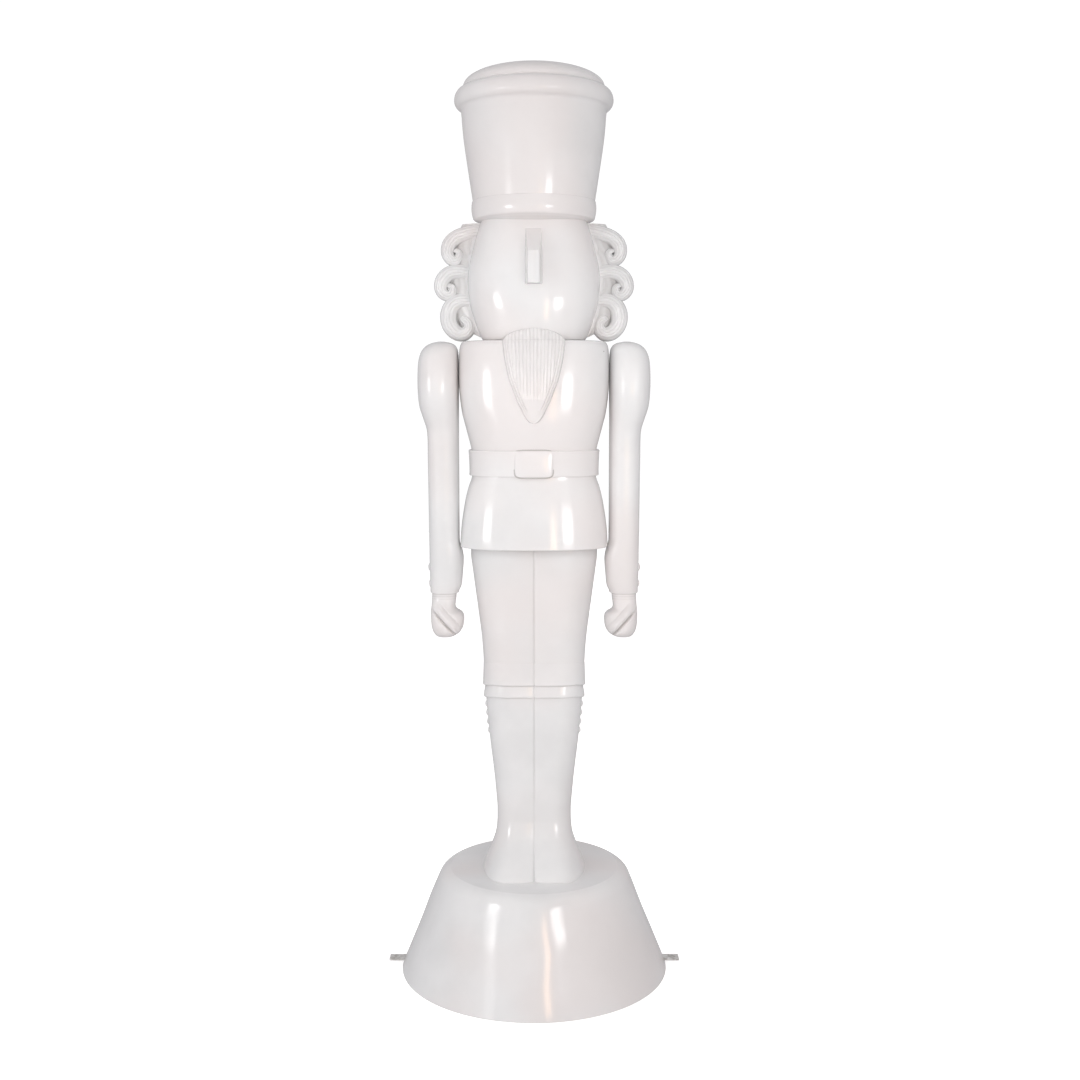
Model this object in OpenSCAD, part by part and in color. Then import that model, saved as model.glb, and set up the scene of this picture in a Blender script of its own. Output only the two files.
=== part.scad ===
// Giant nutcracker soldier: a hollow glass-fibre display figure on a cone base with tie-down lugs.
// The floor is z = 0, the figure faces -y, and the z axis runs up through the hat.
// Left and right are the figure's own, so its left side is +x.

/* [Figure] */
// Overall height, floor to the top of the hat
figure_h = 1820; // [1500:10:2200]
// Thickness of the glass-fibre laminate
laminate = 5; // [4:0.5:6]

/* [Base] */
// Height of the deck that the feet stand on
base_h = 215; // [180:5:260]
// Diameter of the base at the floor
base_d = 550; // [480:10:660]
// Diameter of the base at its upper edge, before the rounding
deck_d = 376; // [350:2:400]
// Thickness of the plywood boards
ply = 15; // [12:1:18]

/* [Tie-down bar] */
// Width of the flat steel bar
bar_w = 25; // [20:1:40]
// Thickness of the flat steel bar
bar_t = 4; // [3:0.5:6]
// How far each end stands out from the foot of the cone
lug_out = 27; // [22:1:60]
// Diameter of the hole in each end
lug_hole_d = 7; // [5:0.5:11]

/* [Armature] */
// Side of the square leg and shoulder tubes
tube = 25; // [20:1:28]
// Side of the square spine tube
spine = 30; // [25:1:35]
// Wall of the square tubes
tube_wall = 2; // [1.5:0.5:3]
// Thickness of the foot plate and the head plate
plate_t = 5; // [4:0.5:8]
// Thread diameter of the plate bolts
bolt_d = 10; // [8:1:12]

/* [Hidden] */
$fn = 64;

// The sculpted tables below hold heights above the deck and half sizes for a soldier 1605 tall.
// k scales them, and up() gives a table height its place above the floor.
k = (figure_h - base_h) / 1605;
function up(h) = base_h + h * k;
// Glue line between two bonded pieces
glue = 0.3;
// Clearance round a tube or a bar in its hole
fit = 0.5;
// Height over which the inside of a wall turns in to a flat top or underside
lip_turn = 30;

// Coat: height, half width, depth to the front, depth to the back
coat_tab = [
    [665, 149, 96, 92], [690, 147.5, 94.5, 90], [717, 145, 92, 88], [758, 138.5, 88, 84],
    [786, 131, 85, 80], [803, 124.5, 83, 78], [835, 122.5, 83, 77], [863, 126.5, 89, 80],
    [883, 131, 95, 84], [910, 138, 99.5, 88], [935, 144.5, 101.5, 92], [985, 149.5, 103, 96],
    [1035, 149.5, 103, 96], [1057, 148.5, 100, 93], [1069, 144, 95, 88], [1075, 134, 85, 78]
];
coat_square = 2.5;
coat_top = 1075;
neck_w = 88;
neck_d = 58;

// Both legs: height, half width, depth to the front, depth to the back, depth at the seam / depth
leg_tab = [
    [0, 105, 117, 72, 0.74], [7, 104.5, 116, 71, 0.74], [25, 97, 98, 66, 0.74],
    [45, 88.5, 76, 58, 0.74], [70, 79, 54, 48, 0.76], [95, 75, 43, 42, 0.78], [127, 76.5, 41, 41, 0.78],
    [195, 82, 43, 47, 0.78], [263, 90, 46, 53, 0.78], [330, 96.5, 49.5, 56, 0.78],
    [397, 101, 52, 55, 0.8], [475, 106, 55, 56, 0.8], [525, 112, 58, 58, 0.82],
    [624, 125, 64, 63, 0.84], [652, 128, 66, 65, 0.85], [745, 122, 64, 63, 0.86]
];
leg_top = 745;
// Boot cuffs: heights of the upper and lower edge at the side, and how much higher they run at the front
cuff_edges = [[426, 379], [378, 353]];
cuff_rise = 9;
cuff_t = 3;
boot_button_h = [340, 322, 303, 285];
boot_button_r = 6.5;

// Belt, buckle
belt_low = 809;
belt_high = 860;
belt_t = 7;
buckle_w = 75;
buckle_t = 6;

// Arm: height, inner side, outer side, half depth
arm_tab = [
    [571, 152, 210, 29], [605, 145, 212, 33], [640, 142, 212, 34], [653, 144, 212, 34],
    [671, 150.4, 212.3, 34], [785, 150.8, 213, 36], [845, 150.8, 213.5, 38], [899, 150.8, 214.5, 42],
    [920, 150.8, 221, 52], [945, 150.6, 229, 60], [975, 150.4, 232, 64], [1015, 150.4, 232, 64],
    [1040, 150.6, 229.5, 61], [1057, 152, 223, 54], [1067, 157, 213, 43], [1073, 168, 200, 25],
    [1074.5, 180, 190, 8]
];
arm_square = 2.4;
cuff_h = 571;
shoulder_tube_h = 1020;
shoulder_tube_reach = 196;
sleeve_button_h = [622, 589];
sleeve_button_r = 8;

// Fist: its middle, and how far the middles of its rounded corners stand from there
fist_x = 178;
fist_h = 512;
fist_r = 17;

// Head: height, half width, depth to the front, depth to the back
head_tab = [
    [1076, 88, 72, 80], [1082, 97, 79, 88], [1090, 106, 85, 94], [1117, 118.5, 92, 103],
    [1148, 127, 95.5, 109], [1186, 131, 97, 112], [1215, 129.5, 96.5, 112], [1254, 121, 93, 106],
    [1293, 110, 87, 98], [1317, 101, 82, 92]
];
head_square = 2.3;
head_low = 1076;
head_high = 1317;
head_opening = 60;

// Nose: heights where the bridge meets the face, of the front edge's two ends, and its reach
nose_bridge = 1286;
nose_front_high = 1240;
nose_front_low = 1180;
nose_reach = 131;
nose_w = 24;
nose_root_w = 31;

// Beard: height, half width
beard_tab = [
    [914, 1.5], [922, 8], [936, 19], [954, 30], [975, 40], [998, 49], [1033, 56], [1062, 59.5],
    [1076, 60], [1084, 52], [1091, 36], [1097, 3]
];
beard_relief = 14;
beard_edge = 5;

// Locks of hair, as seen from the front: outward distance, height, half thickness
lock_top = [[114.7, 1290, 15], [139, 1290, 15], [160, 1276, 14], [169, 1257, 11], [163, 1240, 9],
    [151, 1236, 8], [147, 1247, 6]];
lock_middle = [[133, 1204, 14], [151, 1210, 15], [176, 1204, 14], [188, 1187, 13], [182, 1168, 10],
    [168, 1163, 8], [161, 1175, 6]];
lock_bottom = [[130.5, 1153, 13], [149, 1152, 12.5], [165, 1141, 12.4], [173, 1124, 14.5], [171, 1106, 13],
    [160, 1093, 11], [145, 1091, 8], [138, 1101, 6]];
lock_depth = 22;
lock_back = 12;

// Hat: height, radius of the wall; then the rolled rim and the crown
hat_tab = [[1357, 121], [1378, 126.5], [1402, 130], [1425, 133.6], [1448, 136], [1471, 139],
    [1494, 140.8], [1513, 141.5]];
hat_low = 1317;
band_high = 1353;
band_r = 122.5;
band_t = 4;
rim_h = 1538;
rim_out = 15;
rim_half = 26;
crown_low = 1565;
crown_r = 141;
crown_square = 2.2;

// Base: slope of the cone and the wall measured along the floor
cone_slope = (base_d - deck_d) / 2 / base_h;
wall_run = laminate * sqrt(1 + cone_slope * cone_slope);
function cone_r(z) = base_d / 2 - cone_slope * z;
edge_r = 16;
flange_in = 28;
upright_x = 38 * k;
bar_z = ply - bar_t;
bar_half = base_d / 2 + lug_out;
lug_hole_in = 11;
foot_plate_l = 220;
foot_plate_w = 110;
bolt_x = 90;
bolt_y = 38;
bolt_clear = 1;
flange_screws_n = 8;
screw_r = 2.2;
sink = 2;
head_plate_s = 90;
upright_top = up(700);
spine_low = upright_top + tube;
head_plate_z = up(hat_low) + glue - plate_t;

// ---- Interpolation through a table ----

// Row of the table at or below h
function seat(tab, h, i = 0) = i >= len(tab) - 2 || h < tab[i + 1][0] ? i : seat(tab, h, i + 1);
// Slope of column c at row i
function slope(tab, c, i) =
    let (a = max(i - 1, 0), b = min(i + 1, len(tab) - 1)) (tab[b][c] - tab[a][c]) / (tab[b][0] - tab[a][0]);
// Column c at height h, as a smooth curve through the rows
function at(tab, c, h) =
    let (i = seat(tab, h), d = tab[i + 1][0] - tab[i][0], t = (h - tab[i][0]) / d,
        t2 = t * t, t3 = t2 * t)
    (2 * t3 - 3 * t2 + 1) * tab[i][c] + (t3 - 2 * t2 + t) * d * slope(tab, c, i)
    + (3 * t2 - 2 * t3) * tab[i + 1][c] + (t3 - t2) * d * slope(tab, c, i + 1);
// Heights for the rings of a table: each row, and n - 1 places between rows
function stations(tab, n) =
    [for (i = [0:len(tab) - 2], j = [0:n - 1]) tab[i][0] + (tab[i + 1][0] - tab[i][0]) * j / n,
        tab[len(tab) - 1][0]];

// ---- Skins ----

// Two triangles for each cell between ring a and ring b, of n points each
function band(a, b, n) =
    [for (j = [0:n - 1]) let (m = (j + 1) % n) each [[a + j, b + m, a + m], [a + j, b + j, b + m]]];

// Closed rings joined into a solid. Ends are flat fans, or the last ring joins the first.
module loft(rings, closed = false) {
    n = len(rings[0]);
    last = len(rings) - 1;
    walls = [for (i = [0:last - 1]) each band(i * n, (i + 1) * n, n)];
    ends = closed ? band(last * n, 0, n)
        : [for (j = [1:n - 2]) each [[0, j, j + 1], [last * n, last * n + j + 1, last * n + j]]];
    polyhedron([for (r = rings) each r], concat(walls, ends), convexity = 8);
}

// Open outlines joined into a shell: each ring goes out along the skin and comes back along the inside
module shell(rings) {
    n = len(rings[0]);
    top = (len(rings) - 1) * n;
    walls = [for (i = [0:len(rings) - 2]) each band(i * n, (i + 1) * n, n)];
    strips = [for (j = [0:n / 2 - 2]) each [
        [j, j + 1, n - 2 - j], [j, n - 2 - j, n - 1 - j],
        [top + j, top + n - 2 - j, top + j + 1], [top + j, top + n - 1 - j, top + n - 2 - j]
    ]];
    polyhedron([for (r = rings) each r], concat(walls, strips), convexity = 8);
}

function power(v, e) = sign(v) * pow(abs(v), e);
function without_last(list) = [for (i = [0:len(list) - 2]) list[i]];
function reverse(list) = [for (i = [len(list) - 1:-1:0]) list[i]];

// ---- Outlines ----

// Points of a squared oval from angle a to angle b, front depth f and back depth r
function oval(w, f, r, square, z, a, b, steps) =
    [for (j = [0:steps]) let (t = a + (b - a) * j / steps)
        [w * power(cos(t), 2 / square), (sin(t) < 0 ? f : r) * power(sin(t), 2 / square), z]];

// Outline of the coat at table height h, grown by off
function coat_line(h, off, z, a, b, steps) =
    oval(at(coat_tab, 1, h) * k + off, at(coat_tab, 2, h) * k + off, at(coat_tab, 3, h) * k + off,
        coat_square, z, a, b, steps);

// Half outline of the two legs at table height h, grown by off: side -1 is the front, 1 the back
function leg_line(h, off, z, side, steps) =
    let (c = at(leg_tab, 1, h) * k / 2, d = at(leg_tab, side < 0 ? 2 : 3, h) * k + off,
        g = d * at(leg_tab, 4, h))
    [for (j = [0:steps]) let (u = 2 * j / steps, lobe = u <= 1 ? -1 : 1, t = 180 * (u - (u > 1 ? 1 : 0)),
            x = -cos(t), s = sin(t), inner = lobe * x < 0)
        [-side * (lobe * c + x * (inner ? c : c + off)), side * (inner ? g + (d - g) * s : d * s), z]];

// Outline of an arm at table height h, grown by off, with its middle on the arm's own line
function arm_line(h, off, z, steps) =
    let (low = at(arm_tab, 1, h) * k, high = at(arm_tab, 2, h) * k, d = at(arm_tab, 3, h) * k + off)
    [for (j = [0:steps - 1]) let (t = 360 * j / steps)
        [(low + high) / 2 + ((high - low) / 2 + off) * power(cos(t), 2 / arm_square),
            d * power(sin(t), 2 / arm_square), z]];

// ---- Base ----

module base_shell() {
    shoulder = base_h - edge_r;
    inner_top = base_h - laminate;
    flange_r = cone_r(ply) - wall_run - flange_in;
    rounding = [for (t = [0:15:75]) [cone_r(shoulder) - edge_r * (1 - cos(t)), shoulder + edge_r * sin(t)]];
    profile = concat(
        [[cone_r(0) - wall_run, 0], [cone_r(0), 0]], rounding,
        [[cone_r(base_h) - edge_r, base_h], [0, base_h], [0, inner_top]],
        [[cone_r(inner_top) - wall_run - edge_r / 2, inner_top], [cone_r(shoulder) - wall_run, shoulder]],
        [[cone_r(ply + laminate) - wall_run, ply + laminate], [flange_r, ply + laminate], [flange_r, ply]],
        [[cone_r(ply) - wall_run, ply]]
    );
    color("white") difference() {
        rotate_extrude() polygon(profile);
        for (s = [-1, 1]) {
            translate([s * upright_x, 0, base_h])
                cube([tube + 2 * fit, tube + 2 * fit, 4 * laminate], center = true);
            translate([s * base_d / 2, 0, bar_z + bar_t / 2])
                cube([4 * (flange_in + wall_run), bar_w + 2 * fit, bar_t + 2 * fit], center = true);
        }
        flange_screw_places() cylinder(r = screw_r, h = 3 * ply);
    }
}

module flange_screw_places() {
    r = cone_r(ply) - wall_run - flange_in / 2;
    for (i = [0:flange_screws_n - 1]) rotate([0, 0, (i + 0.5) * 360 / flange_screws_n])
        translate([r, 0, 0]) children();
}

module foot_bolt_places() {
    for (x = [-bolt_x, bolt_x], y = [-bolt_y, bolt_y]) translate([x, y, 0]) children();
}

module bar_screw_places() {
    for (x = [-200, -150, 150, 200]) translate([x * base_d / 550, 0, 0]) children();
}

module base_board() {
    color("burlywood") difference() {
        cylinder(r1 = cone_r(0) - wall_run - glue, r2 = cone_r(ply) - wall_run - glue, h = ply);
        translate([0, 0, bar_z + bar_t]) cube([base_d, bar_w + 2 * fit, 2 * bar_t], center = true);
        foot_bolt_places() cylinder(d = bolt_d + bolt_clear, h = 3 * ply, center = true);
        foot_bolt_places() cylinder(d = 2.2 * bolt_d, h = 2 * bolt_d * 0.6, center = true);
        flange_screw_places() cylinder(r = screw_r, h = 3 * ply, center = true);
        flange_screw_places() cylinder(r = 2 * screw_r, h = 6, center = true);
        bar_screw_places() translate([0, 0, 3]) cylinder(r = screw_r, h = ply);
    }
}

module deck_board() {
    top = base_h - laminate - glue;
    r = cone_r(base_h) - edge_r - wall_run - 8;
    color("burlywood") difference() {
        translate([0, 0, top - ply]) cylinder(r = r, h = ply);
        for (s = [-1, 1]) translate([s * upright_x, 0, top])
            cube([tube + 2 * fit, tube + 2 * fit, 4 * ply], center = true);
    }
}

module tie_down_bar() {
    color("silver") difference() {
        translate([-bar_half, -bar_w / 2, bar_z]) cube([2 * bar_half, bar_w, bar_t]);
        for (s = [-1, 1]) translate([s * (bar_half - lug_hole_in), 0, 0])
            cylinder(d = lug_hole_d, h = 3 * ply);
        bar_screw_places() cylinder(r = screw_r + fit / 2, h = 3 * ply);
        bar_screw_places() translate([0, 0, bar_z + bar_t - sink])
            cylinder(r1 = screw_r + fit / 2, r2 = 2 * screw_r + fit, h = sink + 0.01);
    }
}

module bar_screws() {
    color("silver") bar_screw_places() {
        translate([0, 0, 3]) cylinder(r = screw_r - 0.05, h = bar_z);
        translate([0, 0, bar_z + bar_t - sink]) cylinder(r1 = screw_r - 0.05, r2 = 2 * screw_r, h = sink);
    }
}

module flange_screws() {
    color("silver") flange_screw_places() {
        translate([0, 0, 0.5]) cylinder(r = 2 * screw_r - 0.3, h = 2.5);
        translate([0, 0, 2]) cylinder(r = screw_r - 0.05, h = ply + laminate);
    }
}

// ---- Steel armature ----

module square_tube(side, length) {
    difference() {
        translate([-side / 2, -side / 2, 0]) cube([side, side, length]);
        translate([tube_wall - side / 2, tube_wall - side / 2, -1])
            cube([side - 2 * tube_wall, side - 2 * tube_wall, length + 2]);
    }
}

module foot_plate() {
    color("gray") difference() {
        translate([-foot_plate_l / 2, -foot_plate_w / 2, ply]) cube([foot_plate_l, foot_plate_w, plate_t]);
        foot_bolt_places() cylinder(d = bolt_d + bolt_clear, h = 4 * ply);
    }
}

module foot_bolts() {
    color("silver") foot_bolt_places() {
        translate([0, 0, 0.5]) cylinder(d = 2 * bolt_d, h = bolt_d * 0.5);
        translate([0, 0, 1]) cylinder(d = bolt_d, h = ply + plate_t + 1.5 * bolt_d);
    }
}

module foot_washers() {
    color("silver") foot_bolt_places() translate([0, 0, ply + plate_t]) difference() {
        cylinder(d = 2 * bolt_d, h = 2);
        cylinder(d = bolt_d + bolt_clear, h = 9, center = true);
    }
}

module foot_nuts() {
    color("silver") foot_bolt_places() translate([0, 0, ply + plate_t + 2]) difference() {
        cylinder(d = 1.9 * bolt_d, h = 0.8 * bolt_d, $fn = 6);
        cylinder(d = bolt_d + 0.1, h = 99, center = true);
    }
}

module upright(side) {
    low = ply + plate_t;
    color("gray") translate([side * upright_x, 0, low]) square_tube(tube, upright_top - low);
}

module hip_cross_tube() {
    half = upright_x + tube / 2;
    color("gray") translate([-half, 0, upright_top + tube / 2]) rotate([0, 90, 0])
        square_tube(tube, 2 * half);
}

module spine_tube() {
    color("gray") translate([0, 0, spine_low]) square_tube(spine, head_plate_z - spine_low);
}

module shoulder_tube(side) {
    reach = shoulder_tube_reach * k - spine / 2;
    color("gray") translate([side * spine / 2, 0, up(shoulder_tube_h)]) rotate([0, side * 90, 0])
        square_tube(tube, reach);
}

module head_plate_screw_places() {
    for (x = [-1, 1], y = [-1, 1])
        translate([x * head_plate_s * 0.36, y * head_plate_s * 0.36, head_plate_z]) children();
}

module head_plate() {
    color("gray") difference() {
        translate([0, 0, head_plate_z + plate_t / 2])
            cube([head_plate_s, head_plate_s, plate_t], center = true);
        head_plate_screw_places() cylinder(r = screw_r + fit / 2, h = 40, center = true);
    }
}

module head_plate_screws() {
    color("silver") head_plate_screw_places() {
        translate([0, 0, -2]) cylinder(r = 2 * screw_r, h = 2);
        cylinder(r = screw_r - 0.05, h = plate_t + ply * 0.7);
    }
}

// ---- Legs ----

module legs_half(side) {
    steps = 24;
    rings = concat(stations([for (i = [0:6]) leg_tab[i]], 2),
        [for (i = [7:len(leg_tab) - 1]) leg_tab[i][0]]);
    color("white") shell([for (h = rings) let (z = up(h))
        concat(leg_line(h, 0, z, side, steps), reverse(leg_line(h, -laminate, z, side, steps)))]);
}

// A turned band round both boots: it stands proud at its lower edge and thins out upwards
module boot_cuff(i) {
    high = cuff_edges[i][0];
    low = cuff_edges[i][1];
    section = [[low, glue], [low, cuff_t], [low + 3, cuff_t + glue], [high - 2, 1.5],
        [high, glue + 0.4], [high, glue]];
    color("white") loft([for (q = section) [for (side = [-1, 1], j = [0:23])
        let (level = leg_line(q[0], q[1], up(q[0]), side, 24)[j], high = q[0] + cuff_rise,
            risen = leg_line(high, q[1], up(high), side, 24)[j])
        level + (risen - level) * min(1, abs(level[1]) / (40 * k))]], closed = true);
}

// A shallow dome lying on its side, its back at x = 0
module dome(r, rise) {
    rotate([0, 90, 0]) rotate_extrude()
        polygon(concat([[0, 0]], [for (t = [0:15:90]) [r * cos(t), rise * sin(t)]]));
}

module boot_buttons(side) {
    color("white") for (h = boot_button_h) translate([side * (at(leg_tab, 1, h) * k + glue), 0, up(h)])
        mirror([side < 0 ? 1 : 0, 0, 0]) dome(boot_button_r, 3.5);
}

// ---- Coat ----

// Rings of half the coat: up the outside, round the shoulder and in to the neck opening
module coat_half(side) {
    steps = 22;
    a = side < 0 ? 180 : 0;
    walls = [for (h = stations(coat_tab, 2)) let (z = up(h), turn = max(0, (h - coat_top) / lip_turn + 1))
        concat(coat_line(h, 0, z, a, a + 180, steps),
            reverse(coat_line(h, -laminate, z - turn * laminate, a, a + 180, steps)))];
    neck = concat(oval(neck_w * k, neck_d * k, neck_d * k, 2, up(coat_top), a, a + 180, steps),
        reverse(oval(neck_w * k, neck_d * k, neck_d * k, 2, up(coat_top) - laminate, a, a + 180, steps)));
    color("white") difference() {
        shell(concat(walls, [neck]));
        for (s = [-1, 1]) translate([s * 150 * k, 0, up(shoulder_tube_h)])
            cube([60, tube + 2 * fit, tube + 2 * fit], center = true);
    }
}

// A plywood board cut to the inside of the coat at table height h, with a square hole for the spine
module coat_board(h, low) {
    color("burlywood") translate([0, 0, low]) linear_extrude(ply) difference() {
        polygon([for (p = coat_line(h, -laminate - glue, 0, 0, 360, 48)) [p[0], p[1]]]);
        square(spine + 2 * fit, center = true);
    }
}

module hip_board() {
    coat_board(leg_top + ply + 4, up(leg_top) + glue);
}

module shoulder_board() {
    coat_board(coat_top, up(coat_top) - laminate - glue - ply);
}

module belt() {
    steps = 56;
    low = belt_low;
    high = belt_high;
    section = [[low, 0.4], [low, belt_t - 2], [low + 2, belt_t], [(low + high) / 2, belt_t + 1],
        [high - 2, belt_t], [high, belt_t - 2], [high, 0.4]];
    inside = [for (h = [high - 8, (low + high) / 2, low + 8]) [h, 0.4]];
    color("white") loft([for (s = concat(section, inside))
        coat_line(s[0], s[1] + glue, up(s[0]), 0, 360 - 360 / steps, steps - 1)], closed = true);
}

module belt_buckle() {
    h = (belt_low + belt_high) / 2;
    high = (belt_high - belt_low) * k + 2;
    face = max([for (i = [belt_low + 2, h, belt_high - 2]) at(coat_tab, 2, i) * k]) + belt_t + 1 + 2 * glue;
    corner = 9;
    color("white") translate([0, -face, up(h)]) rotate([90, 0, 0]) linear_extrude(buckle_t)
        hull() for (x = [-1, 1], y = [-1, 1])
            translate([x * (buckle_w * k / 2 - corner), y * (high / 2 - corner)]) circle(corner, $fn = 32);
}

// ---- Arms ----

module arm_solid() {
    steps = 26;
    hs = stations(arm_tab, 1);
    core = reverse([for (h = hs) if (h < coat_top - 6) h]);
    loft(concat([for (h = core) arm_line(h, -laminate, min(up(h), up(coat_top - 3) - laminate), steps)],
        [for (h = hs) arm_line(h, 0, up(h), steps)]));
}

module arm(side) {
    color("white") mirror([side < 0 ? 1 : 0, 0, 0]) difference() {
        arm_solid();
        translate([150 * k, 0, up(shoulder_tube_h)])
            cube([40, tube + 2 * fit, tube + 2 * fit], center = true);
    }
}

module sleeve_buttons(side) {
    color("white") for (h = sleeve_button_h) translate([side * (at(arm_tab, 2, h) * k + glue), 0, up(h)])
        mirror([side < 0 ? 1 : 0, 0, 0]) dome(sleeve_button_r, 3.5);
}

module ball(x, y, h, r) {
    translate([x * k, y * k, up(h)]) sphere(r * k, $fn = 16);
}

// A closed fist hanging from the cuff: four curled fingers front to back, thumb across the front
module hand(side) {
    color("white") mirror([side < 0 ? 1 : 0, 0, 0]) union() {
        for (i = [0:3]) hull() {
            ball(fist_x - 18, -27 + 18 * i, fist_h + 8, fist_r - 1);
            ball(fist_x - 14, -27 + 18 * i, fist_h - 16, fist_r);
            ball(fist_x + 14, -27 + 18 * i, fist_h - 14, fist_r);
        }
        hull() {
            for (y = [-24, 26]) ball(fist_x + 17, y, fist_h - 12, fist_r);
            for (y = [-18, 18]) ball(fist_x + 12, y, fist_h + 22, fist_r);
            for (y = [-16, 20]) ball(fist_x - 8, y, fist_h + 20, fist_r - 2);
        }
        hull() {
            ball(fist_x + 8, -26, fist_h + 18, 12);
            ball(fist_x - 4, -38, fist_h + 2, 10);
        }
        hull() {
            ball(fist_x - 4, -38, fist_h + 2, 10);
            ball(fist_x - 13, -40, fist_h - 14, 9);
        }
        hull() {
            translate([(fist_x + 2) * k, 0, up(fist_h + 20)])
                scale([24, 26, 1] * k) cylinder(r = 1, h = 1, $fn = 24);
            translate([(fist_x + 3) * k, 0, up(cuff_h) - 1 - glue])
                scale([26, 27, 1] * k) cylinder(r = 1, h = 1, $fn = 24);
        }
    }
}

// ---- Head ----

// Outline of the head at table height h, grown by off
function head_line(h, off, z, a, b, steps) =
    oval(at(head_tab, 1, h) * k + off, at(head_tab, 2, h) * k + off, at(head_tab, 3, h) * k + off,
        head_square, z, a, b, steps);

// Half the head: up the outside from a lip under the chin to the open top inside the hat
module head_half(side) {
    steps = 18;
    a = side < 0 ? 180 : 0;
    low = up(head_low) + glue;
    w = head_opening * k;
    d = 0.7 * w;
    lip = concat(oval(w, d, d, 2, low, a, a + 180, steps),
        reverse(oval(w, d, d, 2, low + laminate, a, a + 180, steps)));
    walls = [for (h = stations(head_tab, 2))
        let (z = max(up(h), low), turn = max(0, (head_low - h) / lip_turn + 1))
        concat(head_line(h, 0, z, a, a + 180, steps),
            reverse(head_line(h, -laminate, z + turn * laminate, a, a + 180, steps)))];
    color("white") shell(concat([lip], walls));
}

// How far forward the face stands at x, table height h
function face(x, h) =
    let (u = min(1, abs(x) / at(head_tab, 1, h)))
    at(head_tab, 2, h) * pow(1 - pow(u, head_square), 1 / head_square);

// A wedge: its back follows the face, its bridge slopes down to an upright front
module nose() {
    middle = (nose_front_low + nose_front_high) / 2;
    slant = (nose_front_high + nose_bridge) / 2;
    color("white") loft([for (h = [nose_front_low, middle, nose_front_high, slant, nose_bridge])
        let (t = max(0, (h - nose_front_high) / (nose_bridge - nose_front_high)),
            half = (nose_w + (nose_root_w - nose_w) * t) / 2,
            front = nose_reach * (1 - t) + (face(0, h) + 2) * t)
        concat([[-half * k, -front * k, up(h)], [half * k, -front * k, up(h)]],
            [for (x = [half, half / 2, 0, -half / 2, -half]) [x * k, -face(x, h) * k - glue, up(h)]])]);
}

// How far forward the coat or the chin stands at x, table height h
function backing(x, h) =
    let (c = min(h, coat_top - 2), w = at(coat_tab, 1, c),
        chest = at(coat_tab, 2, c) * pow(1 - pow(abs(x) / w, coat_square), 1 / coat_square),
        chin = h < head_low ? 0 : face(x, h))
    max(h < coat_top ? chest : 0, chin, at(coat_tab, 2, coat_top - 6) * 0.97);

module beard() {
    steps = 16;
    color("white") shell([for (h = stations(beard_tab, 2))
        let (w = at(beard_tab, 1, h), span = [for (j = [0:steps]) w * (2 * j / steps - 1)],
            relief = beard_relief * min(1, (h - 905) / 60, (1110 - h) / 30))
        concat([for (x = span) let (round = sqrt(max(0, 1 - pow(x / w, 2))))
                [x * k, -(backing(x, h) + beard_edge + relief * round) * k, up(h)]],
            reverse([for (x = span) [x * k, -backing(x, h) * k - 2 * glue, up(h)]]))]);
}

// ---- Hair ----

// One lock: an oval rope swept along a curve through its points, in the plane of the face
module lock(points, side) {
    rows = [for (i = [0:len(points) - 1]) concat([i], points[i])];
    steps = 3 * (len(points) - 1);
    color("white") mirror([side < 0 ? 1 : 0, 0, 0]) loft([for (i = [0:steps])
        let (u = i / 3, e = 0.05, a = max(u - e, 0), b = min(u + e, len(points) - 1),
            dx = at(rows, 1, b) - at(rows, 1, a), dh = at(rows, 2, b) - at(rows, 2, a), l = norm([dx, dh]),
            r = at(rows, 3, u))
        [for (t = [0:36:324]) let (c = r * cos(t))
            [(at(rows, 1, u) + c * dh / l) * k, (lock_back + lock_depth * sin(t)) * k,
                up(at(rows, 2, u) - c * dx / l)]]]);
}

module back_hair() {
    low = 1082;
    high = 1305;
    steps = 14;
    color("white") shell([for (h = stations(head_tab, 2)) if (h >= low && h <= high)
        concat(head_line(h, 13 * k, up(h), 20, 160, steps),
            reverse(head_line(h, glue, up(h), 20, 160, steps)))]);
}

// ---- Hat ----

module hat_board() {
    color("burlywood") difference() {
        translate([0, 0, up(hat_low) + glue]) cylinder(r = (band_r - band_t) * k - laminate - glue, h = ply);
        head_plate_screw_places() cylinder(r = screw_r, h = plate_t + ply * 0.7);
    }
}

module hat_shell() {
    wall_r = (band_r - band_t) * k;
    low = hat_tab[0][0];
    high = hat_tab[len(hat_tab) - 1][0];
    middle = (low + high) / 2;
    wall = [for (i = [0:12]) let (h = low + (high - low) * i / 12) [at(hat_tab, 1, h) * k, up(h)]];
    rim = [for (t = [-80:20:80]) [(crown_r + rim_out * cos(t)) * k, up(rim_h + rim_half * sin(t))]];
    top = up(rim_h + rim_half);
    inside = [
        [(crown_r - 12) * k, top], [(crown_r - 12) * k, top - laminate], [(crown_r - 2) * k, top - laminate],
        [(crown_r + rim_out) * k - laminate, up(rim_h)], [crown_r * k - laminate, up(high)],
        [at(hat_tab, 1, middle) * k - laminate, up(middle)], [wall_r - laminate, up(low)],
        [wall_r - laminate, up(hat_low)]
    ];
    color("white") rotate_extrude()
        polygon(concat([[wall_r, up(hat_low)], [wall_r, up(band_high)]], wall, rim, inside));
}

module hat_band() {
    inner = (band_r - band_t) * k + glue;
    outer = band_r * k;
    low = up(hat_low);
    high = up(band_high) - 1;
    color("white") rotate_extrude()
        polygon([[inner, low], [outer - 2, low], [outer, low + 2],
            [outer, high - 2], [outer - 2, high], [inner, high]]);
}

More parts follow.
